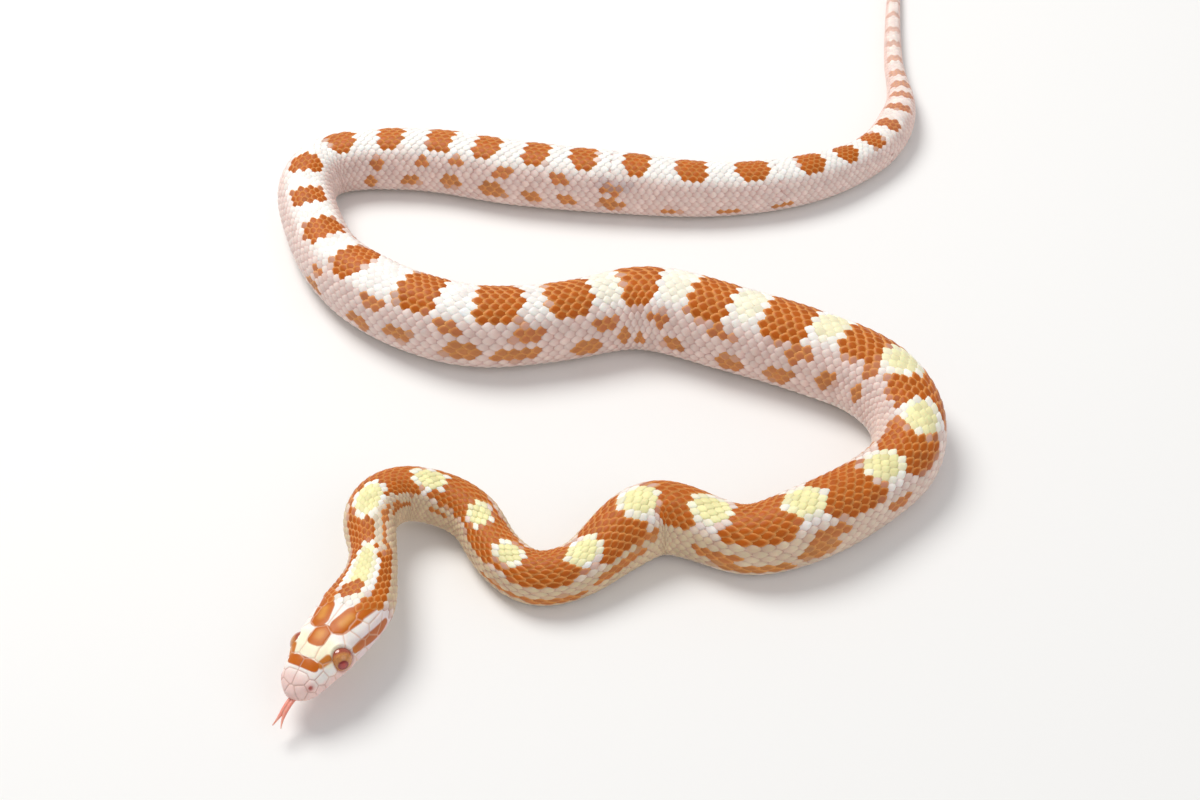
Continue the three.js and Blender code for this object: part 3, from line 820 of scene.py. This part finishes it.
def cornea_material():
    """A clear scale over the eye, wet looking: a sharp highlight over an orange iris and a dark red pupil."""
    made, tree, marks, where = marked_material("clear_eye_scale")
    # Iris fibres about 0.3 mm apart
    fibres = node(tree, "ShaderNodeTexNoise", where, Scale=1 / (0.3 * MM), Detail=5.0, Roughness=0.7)
    light = node(
        tree, "ShaderNodeMapRange", {"Value": (fibres, "Fac")}, **NOISE_SPAN, To_Min=0.75, To_Max=1.25
    )
    mixed = {"Vector": (marks, "Color"), "Scale": (light, "Result")}
    iris = node(tree, "ShaderNodeVectorMath", mixed, operation="SCALE")
    surface = node(
        tree, "ShaderNodeBsdfPrincipled", {"Base Color": (iris, "Vector")},
        Roughness=0.06, IOR=1.4, Coat_Weight=1.0, Coat_Roughness=0.02,
    )
    node(tree, "ShaderNodeOutputMaterial", {"Surface": (surface, "BSDF")})
    return made


def tongue_material():
    """Moist bare flesh: soft, light passes well into it, and its wet film gives small bright glints."""
    made, tree, marks, where = marked_material("moist_tongue_flesh")
    # Fine folds about 0.4 mm apart
    folds = node(tree, "ShaderNodeTexNoise", where, Scale=1 / (0.4 * MM), Detail=3.0)
    relief = node(tree, "ShaderNodeBump", {"Height": (folds, "Fac")}, Strength=0.3, Distance=0.04 * MM)
    surface = node(
        tree, "ShaderNodeBsdfPrincipled", {"Base Color": (marks, "Color"), "Normal": (relief, "Normal")},
        Roughness=0.32, IOR=1.4, Subsurface_Weight=0.5, Subsurface_Scale=0.6 * MM,
        Subsurface_Radius=(1.0, 0.4, 0.3),
    )
    node(tree, "ShaderNodeOutputMaterial", {"Surface": (surface, "BSDF")})
    return made


def finish_piece(thing, surface, nodes=()):
    """Gives a piece its material, its body and the nodes it replaces."""
    thing.data.materials.append(surface)
    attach(thing, "root")
    if nodes:
        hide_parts(*nodes)


def share_property(name, description, start):
    """A share from 0 to 1, shown as a slider."""
    return bpy.props.FloatProperty(
        name=name, description=description, default=start, subtype="FACTOR", min=0, max=1
    )


def amount_property(name, description, start, low=0.0, **kind):
    """A size or strength with a lower limit, and a unit or subtype where it has one."""
    return bpy.props.FloatProperty(name=name, description=description, default=start, min=low, **kind)


class CoatSizes(bpy.types.PropertyGroup):
    depth: amount_property(
        "Scale depth", "How far the skin lies under the scales' tips", 0.3 * MM, 0.05 * MM,
        subtype="DISTANCE", precision=5,
    )
    rows: bpy.props.IntProperty(
        name="Scale rows", description="Rows of scales round the mid body", default=27, min=9
    )
    cover: amount_property("Scale cover", "Width of a scale over the width of its row", 1.68, 0.8)
    overlap: amount_property("Scale overlap", "Length of a scale over the length it shows", 1.42, 1.0)


def colour_property(name, description, hex_colour):
    """A colour that the panel shows as a swatch, with one of the colours above as its default."""
    start = tuple(float(part) for part in linear(hex_colour))
    return bpy.props.FloatVectorProperty(
        name=name, description=description, default=start, size=3, subtype="COLOR", min=0, max=1
    )


class Colours(bpy.types.PropertyGroup):
    saddle: colour_property("Saddles", "Orange of the saddles along the back", SADDLE_ORANGE)
    flank_blotch: colour_property("Flank blotches", "Orange of the blotches on the flanks", FLANK_ORANGE)
    spot: colour_property("Spots", "Yellow in the middle of the front spots", SPOT_YELLOW)
    back: colour_property("Back", "White between the saddles and round the spots", SPOT_WHITE)
    front_flank: colour_property("Front flanks", "Cream of the front third's flanks", FLANK_CREAM)
    flank: colour_property("Flanks", "Pink white of the other flanks", FLANK_PINK)
    head: colour_property("Head", "White of the head plates", HEAD_WHITE)
    head_blotch: colour_property("Head blotches", "Orange on the head plates", PLATE_ORANGE)
    iris: colour_property("Iris", "Ring round the pupil", IRIS)
    pupil: colour_property("Pupil", "Middle of the eye", PUPIL)
    tongue: colour_property("Tongue", "Tongue before its paler tips", TONGUE_PINK)
    floor: colour_property("Floor", "Paper that the snake lies on", FLOOR_WHITE)


class SkinLooks(bpy.types.PropertyGroup):
    roughness: share_property("Roughness", "Roughness of a scale's keratin", 0.42)
    shine: share_property("Shine", "Strength of a scale's mirror light", 0.32)
    glow: share_property("Light in skin", "How much light goes into the pale scales", 0.12)
    pigment_spread: share_property("Pigment spread", "How much the pigment varies from place to place", 0.07)


class StageLooks(bpy.types.PropertyGroup):
    key_power: amount_property("Main light", "Main light's power", 6.0, unit="POWER")
    fill_power: amount_property("Fill light", "Fill light's power", 0.9, unit="POWER")
    sky: amount_property("Sky", "Strength of the even light", 0.5)


SKIN_NODES = ["head", "lower_jaw", "neck"] + [f"body_length_{i}" for i in range(1, 11)]
SKIN_NODES += ["tail_length_1", "tail_length_2"]
SKIN_SIDES = 280
HEAD_STEP = 0.13
HEAD_CROWDING = 1.15
BODY_STEP = 1.4
SNOUT_START = 0.02
FINE_END = HEAD_LENGTH + 2
# The skin's relief goes no deeper than this share of the girth
DEEPEST = 0.4 / 6.3
FLOOR_GAP = 0.02


class SNAKE_OT_skin(bpy.types.Operator):
    """Makes the one skin from snout to tail tip, with the head's plates"""

    bl_idname = "snake.skin"
    bl_label = "Skin"

    def execute(self, context):
        scene = context.scene
        even = np.linspace(0, 1, int(FINE_END / HEAD_STEP))
        head = SNOUT_START + (FINE_END - SNOUT_START) * even**HEAD_CROWDING
        body = np.linspace(FINE_END, BODY_LENGTH, int((BODY_LENGTH - FINE_END) / BODY_STEP))[1:]
        along = np.r_[head, body]
        hide = Hide(along, SKIN_SIDES)
        rounds = np.broadcast_to(hide.rounds, hide.out.shape)
        local = np.stack([np.broadcast_to(along[:, None], hide.out.shape), hide.out, hide.high], -1)
        height, features = head_relief(local)
        on_head = fade(along, 24, 27)[:, None]
        height = height * on_head - skin_inset(along, scene.snake_coat.depth / MM)[:, None]
        height = np.maximum(height, -DEEPEST * hide.girth[:, None])
        points = hide.points + hide.normals * height[..., None]
        points[..., 2] = np.maximum(points[..., 2], FLOOR_GAP)
        colour, orange = surface_colours(local[..., 0], rounds, local, scene.snake_colours)
        # Between the scales the bare skin shows: pink under the pale ones, paler orange under the orange ones
        bare = step(along, 21, 25)[:, None]
        colour = tint(colour, BARE_SKIN_AND_SHADE_PINK, bare * (1 - orange) * 0.75)
        colour = tint(colour, SADDLE_EDGE, bare * orange * 0.55)
        groove = features["groove"] * on_head
        front = fade(local[..., 0], 4, 9)
        colour = tint(colour, SUTURE, groove * 0.75 * (1 - 0.5 * front))
        colour = tint(colour, SUTURE_GREY, groove * front * 0.6)
        colour = tint(colour, MOUTH_SHADE, features["mouth"] * 0.7)
        colour = tint(colour, NOSTRIL_RED, features["flush"] * 0.3)
        colour = tint(colour, NOSTRIL_RED, features["pit"] * 0.9)
        colour = tint(colour, IRIS_RIM, features["crease"] * 0.55 * on_head)
        points = np.vstack([points.reshape(-1, 3), points[0].mean(0), points[-1].mean(0)])
        colours = np.vstack([colour.reshape(-1, 3), colour[0].mean(0), colour[-1].mean(0)])
        thing = mesh_object("skin", points, grid_faces(len(along), SKIN_SIDES), colours)
        close_mesh(thing, end_fans(len(along), SKIN_SIDES))
        surface = keratin_material(
            "head_plate_keratin", scene.snake_looks, grain_mm=0.25, bump=0.25, roughness=0.36
        )
        finish_piece(thing, surface, SKIN_NODES)
        return {"FINISHED"}


# Scale rows from the neck to the tail tip: where each zone starts, its rows and the length each scale shows
SCALE_ZONES = (
    (19.4, 27, 1.25), (34, 27, 1.55), (60, 27, 1.75), (110, 27, 2.05), (190, 27, 2.25), (300, 27, 2.15),
    (370, 27, 2.0), (440, 25, 1.85), (478, 23, 1.6), (VENT, 17, 1.5), (532, 13, 1.35), (560, 9, 1.25),
    (588, 7, 1.0), (601, 0, 1.0),
)
MID_ROWS = 27
BACK_SHARE = 0.76
# The coat's front edge behind the head plates, against the place round the body
NAPE_EDGE = ((0, 19.4), (0.1, 19.2), (0.16, 20.6), (0.24, 21.8), (0.3, 21.6), (0.42, 15.0), (0.5, 13.5))
# The coat's pieces, by distance
COAT_PARTS = ((0, 90), (90, 190), (190, 300), (300, 390), (390, 470), (470, 620))
# A scale's rings from its middle out: share of its outline, and height
RIM_POINTS = 12
SCALE_RINGS = ((0.5, 0.95), (0.8, 0.8), (1.0, 0.38), (1.0, -0.3))
SCALE_RIM = np.r_[0, np.repeat([share for share, _ in SCALE_RINGS], RIM_POINTS)]
# A plate's root before its middle, its thickness against the length it shows, and how much plates differ
ROOT_SHARE = 0.62
MID_SHOWN = 2.1
THICKEST = 0.03
PLACE_SPREAD = 0.03
SIZE_SPREAD = 0.035
SIDE_SPREAD = 0.02
SCALE_LIFT = 1.15
PLACE_SEED = 11
TONE_SEED = 31
# The hide that plates are laid on: where it starts, its step and its sides
BED_START = 12
BED_STEP = 0.4
BED_SIDES = 240


def scale_template():
    """One scale: a low pillow with a blunt front and a rounded tip, as length, side and height, 0 to 1."""
    turn = np.linspace(0, 2 * math.pi, RIM_POINTS, endpoint=False)
    length = 0.5 - 0.5 * np.cos(turn)
    wide = np.where(length < 0.55, 0.45 + length, 1 - ((length - 0.55) / 0.45) ** 1.7 * 0.6)
    side = wide * np.abs(np.sin(turn)) ** 0.7 * 0.5 * np.sign(np.sin(turn))
    rows = [np.array([[0.52, 0.0, 1.0]])]
    for share, rise in SCALE_RINGS:
        rows.append(np.stack([0.5 + (length - 0.5) * share, side * share, np.full(RIM_POINTS, rise)], -1))
    template = np.vstack(rows)
    # The base sinks into the skin and the tip stands clear over the next scale, with a faint keel along it
    high = template[:, 2]
    high = np.where(high < 0, high, high * (0.2 + 0.8 * step(template[:, 0], 0.0, 0.8)))
    template[:, 2] = high + 0.08 * bell(template[:, 1], 0.06) * (high > 0.3)
    faces = []
    for i in range(RIM_POINTS):
        j = (i + 1) % RIM_POINTS
        faces.append((0, 1 + i, 1 + j))
        for ring in range(len(SCALE_RINGS) - 1):
            a, b = 1 + ring * RIM_POINTS + i, 1 + ring * RIM_POINTS + j
            faces.append((a, a + RIM_POINTS, b + RIM_POINTS))
            faces.append((a, b + RIM_POINTS, b))
    return template, np.array(faces)


def lattice(coat):
    """Every scale's middle, length and width: alternate rows are half a scale further back."""
    found = []
    for (start, rows, shown), (end, _, next_shown) in zip(SCALE_ZONES[:-1], SCALE_ZONES[1:]):
        rows = round(rows * coat.rows / MID_ROWS)
        count = max(1, round((end - start) / ((shown + next_shown) / 2)))
        pitch = (end - start) / count
        for k in range(rows):
            q = ((k + 0.5) / rows - 0.5) * BACK_SHARE
            s = start + (np.arange(count) + 0.5 * (k % 2)) * pitch
            sizes = (pitch, BACK_SHARE / rows, coat.overlap, coat.cover)
            found.append(np.c_[s, np.full(count, q), np.tile(sizes, (count, 1))])
    found = np.vstack(found)
    return found[found[:, 0] > smooth(NAPE_EDGE, np.abs(found[:, 1]))]


def scale_bed(depth):
    """The hide behind the head, sunk to where the scales root."""
    hide = Hide(np.arange(BED_START, BODY_LENGTH + 0.01, BED_STEP), BED_SIDES)
    hide.points = hide.points - hide.normals * skin_inset(hide.along, depth)[:, None, None]
    return hide


def lay_plates(hide, cells, template, faces, lift, seed):
    """Copies of one plate laid on the hide: their points, faces, atlas places and distances along."""
    s, q, pitch, share, long, wide = cells.T
    girth = np.interp(s, hide.along, hide.girth)
    length = pitch * long
    draw = wobble((len(cells), 3), seed)
    front = s - length * ROOT_SHARE + draw[:, 0] * pitch * PLACE_SPREAD
    size = 1 + draw[:, 1] * SIZE_SPREAD
    along = front[:, None] + template[None, :, 0] * (length * size)[:, None]
    rounds = q[:, None] + template[None, :, 1] * (share * wide * size)[:, None]
    rounds = rounds + draw[:, 2, None] * share[:, None] * SIDE_SPREAD
    twist = smooth(TWIST, s)
    points, normals = hide.look(np.clip(along, 0.1, BODY_LENGTH - 0.05), rounds + twist[:, None])
    depth = np.minimum(lift * pitch / MID_SHOWN, THICKEST * girth)[:, None] * template[None, :, 2]
    points = points + normals * depth[..., None]
    all_faces = faces[None] + (np.arange(len(cells)) * len(template))[:, None, None]
    # Each plate is a small patch at its root's place on the unwrap
    patch = (template[:, :2] - (0.5, 0)) * ATLAS_PATCH
    atlas = atlas_place(s, q + twist)[:, None] + patch[None]
    return points.reshape(-1, 3), all_faces.reshape(-1, 3), atlas.reshape(-1, 2), along


def scale_colours(hide, cells, template, seed, tones):
    """One colour for each scale from the markings at its middle, paler at its rim where it is orange."""
    s, q = cells[:, 0], cells[:, 1]
    rounds = q + smooth(TWIST, s)
    colour, orange = surface_colours(s, rounds, hide.local(s, rounds), tones)
    orange_now = step(orange, 0.35, 0.65)[:, None]
    each = colour * (1 + 0.05 * wobble(len(cells), seed))[:, None]
    corners = np.repeat(each[:, None], len(template), 1)
    corners = tint(corners, SADDLE_EDGE, step(SCALE_RIM, 0.62, 1.0)[None] * orange_now)
    # Pale scales get a painted shade at the base and pink skin showing at the rim, most of all on the flanks
    flank = step(np.abs(q), 0.07, 0.15)[:, None]
    base = fade(template[:, 0], 0.3, 0.7)[None] * (1 - orange_now)
    corners = tint(corners, BARE_SKIN_AND_SHADE_PINK, base * (0.12 + 0.3 * flank))
    rim = step(SCALE_RIM, 0.75, 1.0)[None] * (1 - orange_now)
    corners = tint(corners, BARE_SKIN_AND_SHADE_PINK, rim * (0.1 + 0.65 * flank))
    return np.clip(corners, 0, 1).reshape(-1, 3)


class SNAKE_OT_scales(bpy.types.Operator):
    """Lays the overlapping scales of the back and flanks"""

    bl_idname = "snake.scales"
    bl_label = "Scales"

    def execute(self, context):
        scene = context.scene
        coat, looks = scene.snake_coat, scene.snake_looks
        depth = coat.depth / MM
        hide = scale_bed(depth)
        template, faces = scale_template()
        cells = lattice(coat)
        surface = keratin_material("scale_keratin", looks, grain_mm=0.2, bump=0.35, roughness=looks.roughness)
        for i, (start, end) in enumerate(COAT_PARTS):
            some = cells[(cells[:, 0] >= start) & (cells[:, 0] < end)]
            laid = lay_plates(hide, some, template, faces, depth * SCALE_LIFT, PLACE_SEED + i)
            points, tris, atlas, _ = laid
            points[:, 2] = np.maximum(points[:, 2], 0.03)
            colours = scale_colours(hide, some, template, TONE_SEED + i, scene.snake_colours)
            thing = mesh_object(f"scales_{i + 1}", points, tris, colours, atlas)
            finish_piece(thing, surface)
        return {"FINISHED"}


SCUTE_ACROSS = 15
# A belly plate's rows from front to rear: place along it, and height
SCUTE_ROWS = ((0.0, 0.0), (0.3, 0.3), (0.62, 0.6), (0.86, 0.72), (0.97, 0.55), (1.0, -0.3))
SCUTE_START = 14.0
SCUTE_PITCH = ((14, 1.5), (60, 1.8), (120, 2.1), (300, 2.2), (VENT, 1.9), (600, 1.0))
SCUTE_SHARE = 1 - BACK_SHARE + 0.03
SCUTE_OVERLAP = 1.35
SCUTE_LIFT = 0.9
SCUTE_SEED = 51
PAIR_APART = 0.058
PAIR_SHARE = 0.125


def scute_template():
    """A broad belly plate: a strip across the belly with a raised rear edge."""
    across = np.linspace(-0.5, 0.5, SCUTE_ACROSS)
    ends = fade(np.abs(across), 0.46, 0.5)
    rows = []
    for length, high in SCUTE_ROWS:
        bow = 0.175 * (2 * np.abs(across)) ** 3 * (length > 0.5)
        rows.append(np.stack([length - bow, across, high * ends - 0.2 * (1 - ends)], -1))
    faces = []
    for r in range(len(SCUTE_ROWS) - 1):
        for a in range(r * SCUTE_ACROSS, (r + 1) * SCUTE_ACROSS - 1):
            faces.append((a, a + SCUTE_ACROSS, a + SCUTE_ACROSS + 1))
            faces.append((a, a + SCUTE_ACROSS + 1, a + 1))
    return np.vstack(rows), np.array(faces)


class SNAKE_OT_belly(bpy.types.Operator):
    """Lays the broad plates across the belly and the paired ones under the tail"""

    bl_idname = "snake.belly"
    bl_label = "Belly plates"

    def execute(self, context):
        scene = context.scene
        depth = scene.snake_coat.depth / MM
        hide = scale_bed(depth)
        template, faces = scute_template()
        cells = []
        s = SCUTE_START
        while s < BODY_LENGTH - 4:
            pitch = float(smooth(SCUTE_PITCH, s))
            if s < VENT:
                cells.append((s, 0.5, pitch, SCUTE_SHARE, SCUTE_OVERLAP, 1.0))
            else:
                cells.append((s, 0.5 - PAIR_APART, pitch, PAIR_SHARE, SCUTE_OVERLAP, 1.0))
                cells.append((s + pitch / 2, 0.5 + PAIR_APART, pitch, PAIR_SHARE, SCUTE_OVERLAP, 1.0))
            s += pitch
        cells = np.array(cells)
        points, tris, atlas, along = lay_plates(hide, cells, template, faces, depth * SCUTE_LIFT, SCUTE_SEED)
        points[:, 2] = np.maximum(points[:, 2], 0.0)
        colours = tint(plain(BELLY_WHITE, (len(points),)), FLANK_CREAM, fade(along.ravel(), 90, 190) * 0.45)
        colours = tint(colours, SNOUT_PINK, fade(np.tile(template[:, 0], len(cells)), 0.2, 0.8) * 0.35)
        thing = mesh_object("belly_plates", points, tris, colours, atlas)
        surface = keratin_material(
            "belly_keratin", scene.snake_looks, grain_mm=0.3, bump=0.2, roughness=0.34
        )
        finish_piece(thing, surface)
        return {"FINISHED"}


# The pupil's radius as an angle from the middle of the eye
PUPIL_RADIUS = 0.46
EYE_RINGS = 40
EYE_SIDES = 64
# Degrees that the eye looks forward and up
EYE_AIM = 34.0
EYE_TILT = 8.0


def unit(vector):
    """The same direction, one long."""
    return vector / np.linalg.norm(vector)


class SNAKE_OT_eyes(bpy.types.Operator):
    """Makes the two eyes under their clear scales"""

    bl_idname = "snake.eyes"
    bl_label = "Eyes"

    def execute(self, context):
        surface = cornea_material()
        tones = context.scene.snake_colours
        _, right, up, rear = [v[0] for v in frames(EYE[0])]
        forward, upward = [math.tan(math.radians(angle)) for angle in (EYE_AIM, EYE_TILT)]
        lean = np.linspace(0, math.pi, EYE_RINGS)[1:-1]
        turn = np.linspace(0, 2 * math.pi, EYE_SIDES, endpoint=False)
        lean, turn = [grid.ravel()[:, None] for grid in np.meshgrid(lean, turn, indexing="ij")]
        off = np.r_[lean[:, 0], 0.0, math.pi]
        colours = tint(plain(tones.iris, off.shape), IRIS_RIM, step(off, 0.95, 1.25))
        colours = tint(colours, PUPIL_EDGE, fade(off, PUPIL_RADIUS - 0.04, PUPIL_RADIUS + 0.05))
        colours = tint(colours, tones.pupil, fade(off, 0.1, PUPIL_RADIUS - 0.06))
        for name, side in (("left", -1), ("right", 1)):
            middle = place(np.array([EYE[0]]), np.array([side * EYE[1]]), np.array([EYE[2]]))[0]
            aim = unit(side * right - forward * rear + upward * up)
            across = unit(np.cross(up, aim))
            above = np.cross(aim, across)
            ball = np.cos(lean) * aim + np.sin(lean) * (np.cos(turn) * across + np.sin(turn) * above)
            points = middle + np.vstack([ball, aim, -aim]) * EYE_RADIUS
            thing = mesh_object(f"eyeball_{name}", points, grid_faces(EYE_RINGS - 2, EYE_SIDES), colours)
            close_mesh(thing, end_fans(EYE_RINGS - 2, EYE_SIDES))
            finish_piece(thing, surface, [f"eye_{name}"])
        return {"FINISHED"}


TONGUE_STEPS = 40
TONGUE_SIDES = 20


class SNAKE_OT_tongue(bpy.types.Operator):
    """Makes the forked tongue from two prongs that lie together as far as the fork"""

    bl_idname = "snake.tongue"
    bl_label = "Tongue"

    def execute(self, context):
        turn = np.linspace(0, 2 * math.pi, TONGUE_SIDES, endpoint=False)
        reach = np.linspace(0, 1, TONGUE_STEPS) * TONGUE_REACH
        gone = np.clip((reach - TONGUE_FORK) / (TONGUE_REACH - TONGUE_FORK), 0, 1)
        beyond = np.maximum(0, (reach - TONGUE_ROOT) / (TONGUE_REACH - TONGUE_ROOT))
        high = float(smooth(HEAD_MOUTH, 0)) - TONGUE_DROP * beyond**1.6
        wide = TONGUE_WIDTH * 0.3 * (1 - 0.8 * gone)
        thick = TONGUE_THICK / 2 * (1 - 0.6 * gone)
        points = []
        for side in (1, -1):
            out = side * (TONGUE_WIDTH * 0.24 + TONGUE_SPREAD * gone**1.5)
            for i in range(TONGUE_STEPS):
                along = np.full(TONGUE_SIDES, TONGUE_ROOT - reach[i])
                across = out[i] + np.sin(turn) * wide[i]
                points.append(place(along, across, high[i] + np.cos(turn) * thick[i]))
        paleness = np.tile(np.repeat(gone, TONGUE_SIDES), 2)
        colours = tint(plain(context.scene.snake_colours.tongue, paleness.shape), TONGUE_TIP, paleness)
        tube = grid_faces(TONGUE_STEPS, TONGUE_SIDES)
        prong = TONGUE_STEPS * TONGUE_SIDES
        thing = mesh_object("forked_tongue", np.vstack(points), np.vstack([tube, tube + prong]), colours)
        ends = []
        for first in (0, prong):
            last = first + prong - TONGUE_SIDES
            ends.append(range(first + TONGUE_SIDES - 1, first - 1, -1))
            ends.append(range(last, last + TONGUE_SIDES))
        close_mesh(thing, ends, smooth_shaded=False)
        finish_piece(thing, tongue_material(), ["tongue"])
        return {"FINISHED"}


LENS_MM = 60.0
SENSOR_MM = 36.0
CAMERA_DOWN = 44.0
CAMERA_AT = (0.0, -294.28, 292.68)
FLOOR_HALF = 3000
WARM_WHITE = (1.0, 0.985, 0.96)
COOL_WHITE = (0.97, 0.98, 1.0)


def area_light(name, at, size, power, colour):
    """A round light in metres that points at the snake's middle."""
    lamp = bpy.data.lights.new(name, "AREA")
    lamp.shape = "DISK"
    lamp.size = size
    lamp.energy = power
    lamp.color = colour
    thing = bpy.data.objects.new(name, lamp)
    thing.location = at
    thing.rotation_euler = (-Vector(at)).to_track_quat("-Z", "Y").to_euler()
    bpy.context.scene.collection.objects.link(thing)


class SNAKE_OT_stage(bpy.types.Operator):
    """Sets the pale floor, the lights and the camera"""

    bl_idname = "snake.stage"
    bl_label = "Stage"

    def execute(self, context):
        scene = context.scene
        looks = scene.snake_stage
        # Matt white paper: even, without shine, so shadows stay soft and pale
        made, tree = material("matt_paper_sweep")
        colour = (*scene.snake_colours.floor, 1.0)
        surface = node(tree, "ShaderNodeBsdfPrincipled", Roughness=0.9, Base_Color=colour)
        node(tree, "ShaderNodeOutputMaterial", {"Surface": (surface, "BSDF")})
        corners = np.array([(-1, -1, 0), (1, -1, 0), (1, 1, 0), (-1, 1, 0)]) * FLOOR_HALF
        floor = mesh_object("floor", corners, [(0, 1, 2, 3)], smooth_shaded=False)
        floor.data.materials.append(made)
        area_light("main_light", (-0.35, 0.35, 0.75), 0.5, looks.key_power, WARM_WHITE)
        area_light("fill_light", (0.5, -0.45, 0.6), 0.7, looks.fill_power, COOL_WHITE)
        world = bpy.data.worlds.new("even_light")
        world.use_nodes = True
        sky = world.node_tree.nodes["Background"]
        sky.inputs["Color"].default_value = (*COOL_WHITE, 1.0)
        sky.inputs["Strength"].default_value = looks.sky
        scene.world = world
        camera = bpy.data.objects.new("camera", bpy.data.cameras.new("camera"))
        camera.data.lens = LENS_MM
        camera.data.sensor_width = SENSOR_MM
        camera.data.clip_start = 0.01
        camera.location = (np.array(CAMERA_AT) - (*ROUTE_ORIGIN, 0)) * MM
        camera.rotation_euler = (math.radians(90 - CAMERA_DOWN), 0, 0)
        scene.collection.objects.link(camera)
        scene.camera = camera
        scene.view_settings.view_transform = "Standard"
        return {"FINISHED"}


# The steps, in the order that main calls them
ORDER = (SNAKE_OT_skin, SNAKE_OT_scales, SNAKE_OT_belly, SNAKE_OT_eyes, SNAKE_OT_tongue, SNAKE_OT_stage)


class SNAKE_PT_panel(bpy.types.Panel):
    """Lists the sizes, looks and steps"""

    bl_label = "Corn snake"
    bl_idname = "SNAKE_PT_panel"
    bl_space_type = "VIEW_3D"
    bl_region_type = "UI"
    bl_category = "Snake"

    def draw(self, context):
        scene = context.scene
        for group in (scene.snake_coat, scene.snake_colours, scene.snake_looks, scene.snake_stage):
            box = self.layout.box()
            for key in group.bl_rna.properties.keys():
                if key not in ("rna_type", "name"):
                    box.prop(group, key)
        for operator in ORDER:
            self.layout.operator(operator.bl_idname)


CLASSES = (CoatSizes, Colours, SkinLooks, StageLooks, *ORDER, SNAKE_PT_panel)


def register():
    for kind in CLASSES:
        bpy.utils.register_class(kind)
    bpy.types.Scene.snake_coat = bpy.props.PointerProperty(type=CoatSizes)
    bpy.types.Scene.snake_colours = bpy.props.PointerProperty(type=Colours)
    bpy.types.Scene.snake_looks = bpy.props.PointerProperty(type=SkinLooks)
    bpy.types.Scene.snake_stage = bpy.props.PointerProperty(type=StageLooks)


def unregister():
    del bpy.types.Scene.snake_stage
    del bpy.types.Scene.snake_looks
    del bpy.types.Scene.snake_colours
    del bpy.types.Scene.snake_coat
    for kind in reversed(CLASSES):
        bpy.utils.unregister_class(kind)


def main():
    register()
    for operator in ORDER:
        group, name = operator.bl_idname.split(".")
        getattr(getattr(bpy.ops, group), name)()


if __name__ == "__main__":
    main()
